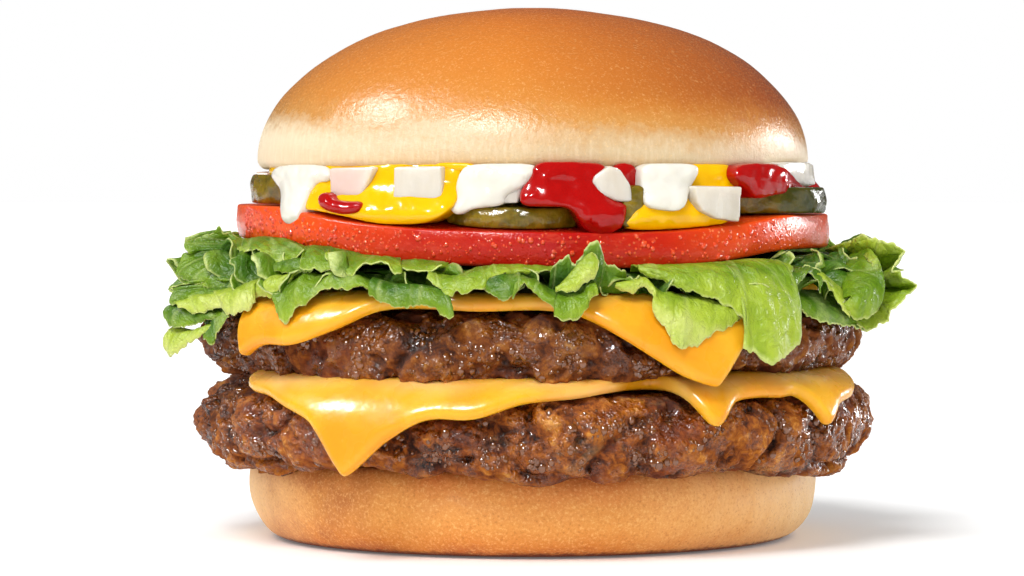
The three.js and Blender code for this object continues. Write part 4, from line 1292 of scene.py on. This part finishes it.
def makePickle(node, x, y, radius, thickness, material):
    profile = [(0, 0), (radius * 0.4, 0), (radius * 0.75, 0), (radius - 0.8, 0)]
    for k in range(1, 12):
        t = math.radians(180 * k / 12 - 90)
        profile.append((radius - 0.8 + 0.8 * math.cos(t) ** 0.6, thickness / 2 * (1 + math.sin(t))))
    profile += [(radius - 0.8, thickness), (radius * 0.75, thickness), (radius * 0.4, thickness), (0, thickness)]
    piece = turned(node.replace("pickle_", "pickleSlice_"), profile, 120)
    skins = []

    def bumpy(p):
        angle = angleOf(p.x, p.y)
        reach = math.hypot(p.x, p.y)
        rim = smooth(radius - 2.5, radius - 0.6, reach)
        skins.append(rim)
        wavy = 1 + 0.03 * wave(angle, 3, x) + 0.01 * wave(angle, 5, y)
        wart = noise.noise(Vector((p.x + x, p.y + y, p.z)) * 0.35) * 0.55 * rim
        grow = wavy + (wart / reach if reach > 0.5 else 0)
        spot = (x + p.x * grow, y + p.y * grow)
        return Vector((*spot, tomatoMiddle(*spot) + tomato["thickness"] / 2 + gap + p.z))

    shape(piece, bumpy)
    paint(piece, "skin", skins)
    return finishPiece(piece, material, "pickle", node)


pickled = pickleRecipe()
for pickleRow in pickles:
    makePickle(*pickleRow, pickled)
print("pickles laid")

# ---------- toppings drawn by their outline

# an outline is rows of angle and height, seen from outside, and the drum is the cylinder it is laid on
drum = 48


def cornered(points, rounds):
    # each round cuts the corners of a closed outline
    for turn in range(rounds):
        cut = []
        for here, there in zip(points, points[1:] + points[:1]):
            cut.append((lerp(here[0], there[0], 0.25), lerp(here[1], there[1], 0.25)))
            cut.append((lerp(here[0], there[0], 0.75), lerp(here[1], there[1], 0.75)))
        points = cut
    return points


def fromEdge(points, outline):
    # how far each point lies from a closed outline
    nearest = numpy.full(len(points), 1e9)
    for here, there in zip(outline, outline[1:] + outline[:1]):
        here, there = numpy.array(here), numpy.array(there)
        along = there - here
        share = numpy.clip((points - here) @ along / max(1e-9, along @ along), 0, 1)
        nearest = numpy.minimum(nearest, numpy.linalg.norm(points - here - share[:, None] * along, axis=1))
    return nearest


def makeTopping(name, node, material, outline, radius, deep, cut=2, soft=10, bulge=0.6, hang=0.0, seed=0.0):
    flat = cornered([(math.radians(angle) * drum, height) for angle, height in outline], cut)
    deselectAll()
    bpy.ops.mesh.primitive_circle_add(vertices=len(flat), radius=mm, fill_type="NGON")
    piece = bpy.context.object
    piece.name = piece.data.name = name
    for vertex, (along, height) in zip(piece.data.vertices, flat):
        vertex.co = Vector((along, 0, height)) * mm
    bpy.ops.object.mode_set(mode="EDIT")
    bpy.ops.mesh.select_all(action="SELECT")
    bpy.ops.mesh.extrude_region_move(TRANSFORM_OT_translate={"value": (0, deep * mm, 0)})
    bpy.ops.mesh.select_all(action="SELECT")
    bpy.ops.mesh.normals_make_consistent(inside=False)
    bpy.ops.object.mode_set(mode="OBJECT")
    applied(piece, "REMESH", mode="VOXEL", voxel_size=0.26 * mm)
    applied(piece, "SMOOTH", factor=0.7, iterations=soft)
    points = numpy.zeros(len(piece.data.vertices) * 3)
    piece.data.vertices.foreach_get("co", points)
    points = points.reshape(-1, 3) / mm
    inside = fromEdge(points[:, (0, 2)], flat)
    swell = bulge * (1 - (1 - numpy.minimum(1, inside / 2.6)) ** 2)
    swells = iter(swell)

    def bend(p):
        q = Vector((p.x, p.z, seed))
        rough = noise.noise(q * 0.22) * 0.5 + noise.noise(q * 0.55) * 0.22
        front = 1 - min(1, max(0, p.y / deep))
        reach = radius - p.y + front * (next(swells) + min(1, bulge) * rough) + hang * smooth(62.5, 56, p.z)
        spot = polar(math.degrees(p.x / drum), radius - p.y, min(p.z, 65.2))
        if spot.y < 0:
            spot.y = -math.sqrt(max(0, reach * reach - spot.x * spot.x))
            return spot
        return polar(math.degrees(p.x / drum), reach, spot.z)

    shape(piece, bend)
    return finishPiece(piece, material, node.split("_")[0], node)


# ---------- onion dice

onionOutlines = [
    (49.6, [(227.0, 64.2), (238.4, 64.4), (234.9, 58.9), (227.5, 58.8)]),
    (50.0, [(243.0, 64.4), (252.7, 64.5), (252.9, 58.3), (242.6, 57.9)]),
    (48.7, [(261.1, 64.2), (270.2, 64.5), (268.5, 61.6), (267.3, 58.5), (260.7, 58.3)]),
    (51.2, [(281.6, 63.0), (284.4, 64.6), (286.4, 64.0), (288.4, 61.4), (289.0, 58.6), (285.6, 58.8), (282.4, 60.0), (281.1, 62.0)]),
    (52.9, [(300.3, 61.3), (311.1, 61.1), (310.6, 55.3), (305.0, 55.9), (302.0, 57.1), (300.9, 58.6)]),
    (50.3, [(325.0, 65.0), (336.0, 65.6), (344.0, 64.8), (346.4, 61.2), (338.0, 61.0), (329.0, 61.8)]),
    (48.8, [(4.8, 63.2), (13.4, 62.8), (12.6, 57.4), (5.2, 57.6)]),
    (48.8, [(62.2, 63.0), (70.2, 63.4), (69.6, 58.6), (62.6, 58.4)]),
    (49.4, [(86.6, 63.4), (95.8, 63.6), (95.0, 58.2), (87.2, 58.6)]),
    (49.0, [(143.0, 63.4), (151.2, 63.6), (150.4, 58.9), (142.4, 59.0)]),
    (49.2, [(165.8, 63.6), (174.6, 63.4), (173.8, 59.2), (166.2, 59.0)]),
]


def onionRecipe():
    raw = Recipe("onion", Subsurface_Weight=0.6, Subsurface_Scale=0.003, Specular_IOR_Level=0.6)
    raw.shader.inputs["Subsurface Radius"].default_value = (1.0, 0.9, 0.7)
    layers = raw.mottle(2.2, 2, stretch=(1, 1, 0.25))
    blush = raw.node("ShaderNodeSeparateXYZ", {}, {0: raw.place}, "X") * 1000
    colour = raw.blend(layers, srgb(200, 190, 174), srgb(222, 216, 205))
    colour = raw.blend((1 - (blush + 30).between(0.0, 4.0)) * 0.5, colour, srgb(226, 180, 170))
    raw.bump(layers * 0.8 + raw.mottle(0.6, 2) * 0.3, 0.25, 0.5)
    return raw.done(Base_Color=colour, Roughness=0.14 + layers * 0.2)


raw = onionRecipe()
for number, (radius, outline) in enumerate(onionOutlines):
    makeTopping(f"onionDie_{number + 1}", f"onion_{number + 1}", raw, outline, radius, 5.8, 0, 7, 0.3, 0, number)
piece = makeTopping("pickleSlice_piece", "pickle_piece", pickled, [
    (287.3, 60.6), (291.1, 61.8), (291.4, 58.1), (289.6, 55.8), (287.7, 54.0), (286.3, 55.4),
], 51.0, 5, 1, 6, 0.4)
paint(piece, "skin", [0.9] * len(piece.data.vertices))
print("onion diced")

# ---------- sauces

# each row: drum radius, depth, bulge, hang and outline
flows = {
    "mayonnaise_left": (48.6, 7, 0.9, 3.6, [
        (202.8, 62.9), (205.6, 64.6), (218.6, 64.9), (225.5, 64.5), (226.7, 62.6), (225.5, 61.9), (221.9, 61.7),
        (220.1, 60.2), (219.0, 58.7), (218.2, 57.4), (217.0, 55.4), (215.5, 54.7), (213.4, 54.5), (210.7, 55.0),
        (209.4, 56.1), (209.0, 57.5), (208.8, 60.5), (206.5, 61.3), (204.1, 62.2),
    ]),
    "mustard_left": (47.6, 7, 0.7, 4.0, [
        (215.5, 64.8), (229.6, 64.8), (237.3, 65.0), (243.1, 65.0), (249.6, 65.0), (255.8, 64.9), (256.2, 62.2),
        (255.2, 58.8), (252.9, 56.9), (250.0, 55.6), (246.8, 55.0), (239.4, 54.9), (234.1, 55.4), (230.4, 56.0),
        (221.7, 57.0), (215.5, 57.3), (214.7, 60.5),
    ]),
    "ketchup_left": (50.6, 2.6, 0.9, 1.6, [
        (225.0, 59.7), (226.8, 60.3), (228.3, 60.1), (229.1, 59.0), (232.2, 58.7), (235.9, 58.8), (236.3, 57.9),
        (235.3, 56.8), (233.2, 56.5), (230.0, 56.6), (226.5, 57.3), (225.0, 58.4),
    ]),
    "mayonnaise_front": (48.6, 7, 0.9, 1.2, [
        (257.2, 64.7), (261.8, 65.0), (272.0, 64.9), (271.0, 62.2), (264.8, 59.6), (264.8, 58.0), (258.3, 57.6),
        (256.5, 56.7), (255.2, 56.5), (254.1, 57.1), (253.9, 58.0), (255.2, 59.2), (255.0, 61.8), (256.0, 63.8),
    ]),
    "ketchup_front": (49.2, 7, 1.3, 2.4, [
        (267.4, 59.4), (268.0, 61.0), (269.9, 62.7), (270.0, 64.6), (272.8, 65.4), (275.4, 65.5), (279.3, 65.2),
        (284.7, 64.9), (284.2, 62.3), (284.7, 60.1), (286.2, 59.0), (288.6, 58.4), (288.5, 57.0), (287.8, 54.7),
        (285.7, 53.6), (283.0, 53.1), (280.5, 53.9), (279.0, 55.5), (278.1, 57.0), (276.6, 57.9), (271.5, 57.9),
        (268.1, 58.0),
    ]),
    "mayonnaise_right": (50.2, 7, 0.9, 2.4, [
        (291.2, 64.9), (296.5, 65.0), (303.2, 64.9), (303.6, 63.4), (301.2, 60.7), (300.7, 58.3), (298.8, 57.0),
        (295.0, 57.3), (291.6, 57.8), (290.6, 62.1),
    ]),
    "mustard_right": (47.4, 7, 0.9, 3.4, [
        (287.8, 55.5), (290.1, 57.2), (290.3, 61.5), (294.1, 62.5), (299.7, 62.9), (301.4, 64.9), (305.5, 65.0),
        (309.8, 65.0), (314.6, 64.9), (316.7, 62.5), (316.1, 58.9), (314.6, 55.2), (309.3, 54.6), (296.8, 54.0),
        (288.7, 54.1),
    ]),
    "ketchup_right": (50.2, 7, 0.8, 0.6, [
        (311.8, 62.2), (312.6, 64.2), (315.4, 65.0), (322.0, 65.0), (327.0, 64.9), (331.5, 63.6), (335.0, 61.8),
        (341.0, 61.0), (353.8, 60.9), (353.8, 60.2), (339.1, 60.0), (325.0, 59.7), (318.6, 58.8), (316.5, 60.2),
    ]),
}
# bits that ride with a sauce: smears under the crown and the dab behind a die
dabs = {
    "ketchupDab": ("ketchup_front", 47.6, 4, 0.8, 0, [(285.8, 65.0), (291.1, 65.0), (291.5, 62.2), (291.7, 60.3), (289.2, 60.0), (285.8, 60.2)]),
    "mustardSmear_1": ("mustard_left", 47.7, 3, 0.4, 0, [(236.5, 65.1), (240, 65.6), (246, 65.3), (246.5, 64.0), (240, 63.6), (236, 64.0)]),
    "mustardSmear_2": ("mustard_left", 47.8, 3, 0.4, 0, [(250.5, 65.2), (255, 65.2), (259, 64.9), (258.5, 63.8), (254, 63.5), (250, 63.8)]),
    "mustardSmear_3": ("mayonnaise_left", 47.3, 3, 0.3, 0, [(196.5, 64.6), (203, 64.9), (208, 64.6), (206, 63.0), (200, 62.4), (196.5, 63.0)]),
}
# every blob is angle, radius, height, half size across, in depth and up
blobSauces = {
    "mayonnaise_back_right": [(35, 44.6, 61.4, 7.6, 4.6, 3.8), (37, 48.8, 59, 2.8, 3, 3.8)],
    "mayonnaise_back_left": [(107, 44.4, 61.6, 7.6, 4.8, 3.6), (106, 48.4, 59.8, 3.2, 3.4, 4)],
    "mustard_back_right": [(78, 44.4, 60.8, 8.4, 5.4, 4.2), (80, 48.6, 58.8, 4.6, 3, 3)],
    "mustard_back_left": [(158, 44.6, 61.2, 7.4, 5, 3.8)],
    "ketchup_side": [(355, 44.6, 61.4, 8, 5, 3.6), (353, 47.6, 59.6, 4.6, 3, 3)],
    "ketchup_back_left": [(131, 44.6, 61.8, 7, 5, 3.6), (130, 48.6, 60.4, 4, 3, 2.8)],
}


def sauceRecipe(name, dark, light, scatter, thickness):
    sauce = Recipe(name, Subsurface_Weight=thickness, Subsurface_Scale=0.002, Specular_IOR_Level=0.36)
    sauce.shader.inputs["Subsurface Radius"].default_value = scatter
    cloud = sauce.mottle(4, 2)
    sauce.bump(sauce.mottle(1.6, 2), 0.2, 0.3)
    return sauce.done(Base_Color=sauce.blend(cloud, dark, light), Roughness=0.07 + cloud * 0.12)


sauceMaterials = {
    "mayonnaise": sauceRecipe("mayonnaise", srgb(216, 211, 197), srgb(232, 229, 219), (1.0, 0.9, 0.7), 0.3),
    "mustard": sauceRecipe("mustard", srgb(236, 170, 0), srgb(246, 196, 0), (1.0, 0.85, 0.05), 0.2),
    "ketchup": sauceRecipe("ketchup", srgb(150, 4, 4), srgb(182, 12, 8), (1.0, 0.05, 0.03), 0.1),
}


def makeBlobSauce(node, blobs):
    deselectAll()
    dice = random.Random(node)
    lumps = list(blobs)
    for angle, radius, height, across, deep, up in blobs:
        for extra in range(4):
            slip = dice.uniform(-0.8, 0.8) * across
            size = dice.uniform(0.35, 0.6)
            lumps.append((
                angle + math.degrees(slip / radius), radius + dice.uniform(-0.2, 0.5) * deep,
                height + dice.uniform(-0.5, 0.5) * up, size * min(across, 6), size * deep, size * up * 1.1,
            ))
    parts = []
    for angle, radius, height, across, deep, up in lumps:
        bpy.ops.mesh.primitive_uv_sphere_add(segments=24, ring_count=16, radius=mm)
        part = bpy.context.object
        part.scale = (deep, across, up)
        part.rotation_euler = (0, 0, math.radians(angle))
        part.location = polar(angle, radius, height) * mm
        parts.append(part)
    deselectAll()
    for part in parts:
        part.select_set(True)
    bpy.context.view_layer.objects.active = parts[0]
    bpy.ops.object.transform_apply(location=True, rotation=True, scale=True)
    bpy.ops.object.join()
    piece = bpy.context.object
    piece.name = piece.data.name = node.replace("_", "Sauce_", 1)
    applied(piece, "REMESH", mode="VOXEL", voxel_size=0.28 * mm)
    applied(piece, "SMOOTH", factor=0.7, iterations=14)

    def settle(p):
        swell = 0.4 + noise.noise(p * 0.17) * 0.7 + noise.noise(p * 0.4) * 0.35
        out = p + Vector((p.x, p.y, 0)).normalized() * swell
        return Vector((out.x, out.y, min(out.z, 64.9)))

    shape(piece, settle)
    applied(piece, "SMOOTH", factor=0.6, iterations=3)
    kind = node.split("_")[0]
    return finishPiece(piece, sauceMaterials[kind], kind, node)


for node, blobs in blobSauces.items():
    makeBlobSauce(node, blobs)
for index, (node, (radius, deep, bulge, hang, outline)) in enumerate(flows.items()):
    kind, place = node.split("_")
    makeTopping(f"{kind}Flow_{place}", node, sauceMaterials[kind], outline, radius, deep, 2, 12, bulge, hang, index * 3.1)
for name, (node, radius, deep, bulge, hang, outline) in dabs.items():
    kind = "mustard" if name.startswith("mustard") else "ketchup"
    piece = makeTopping(name, node, sauceMaterials[kind], outline, radius, deep, 2, 8, bulge, hang, 5)
print("sauces squeezed")
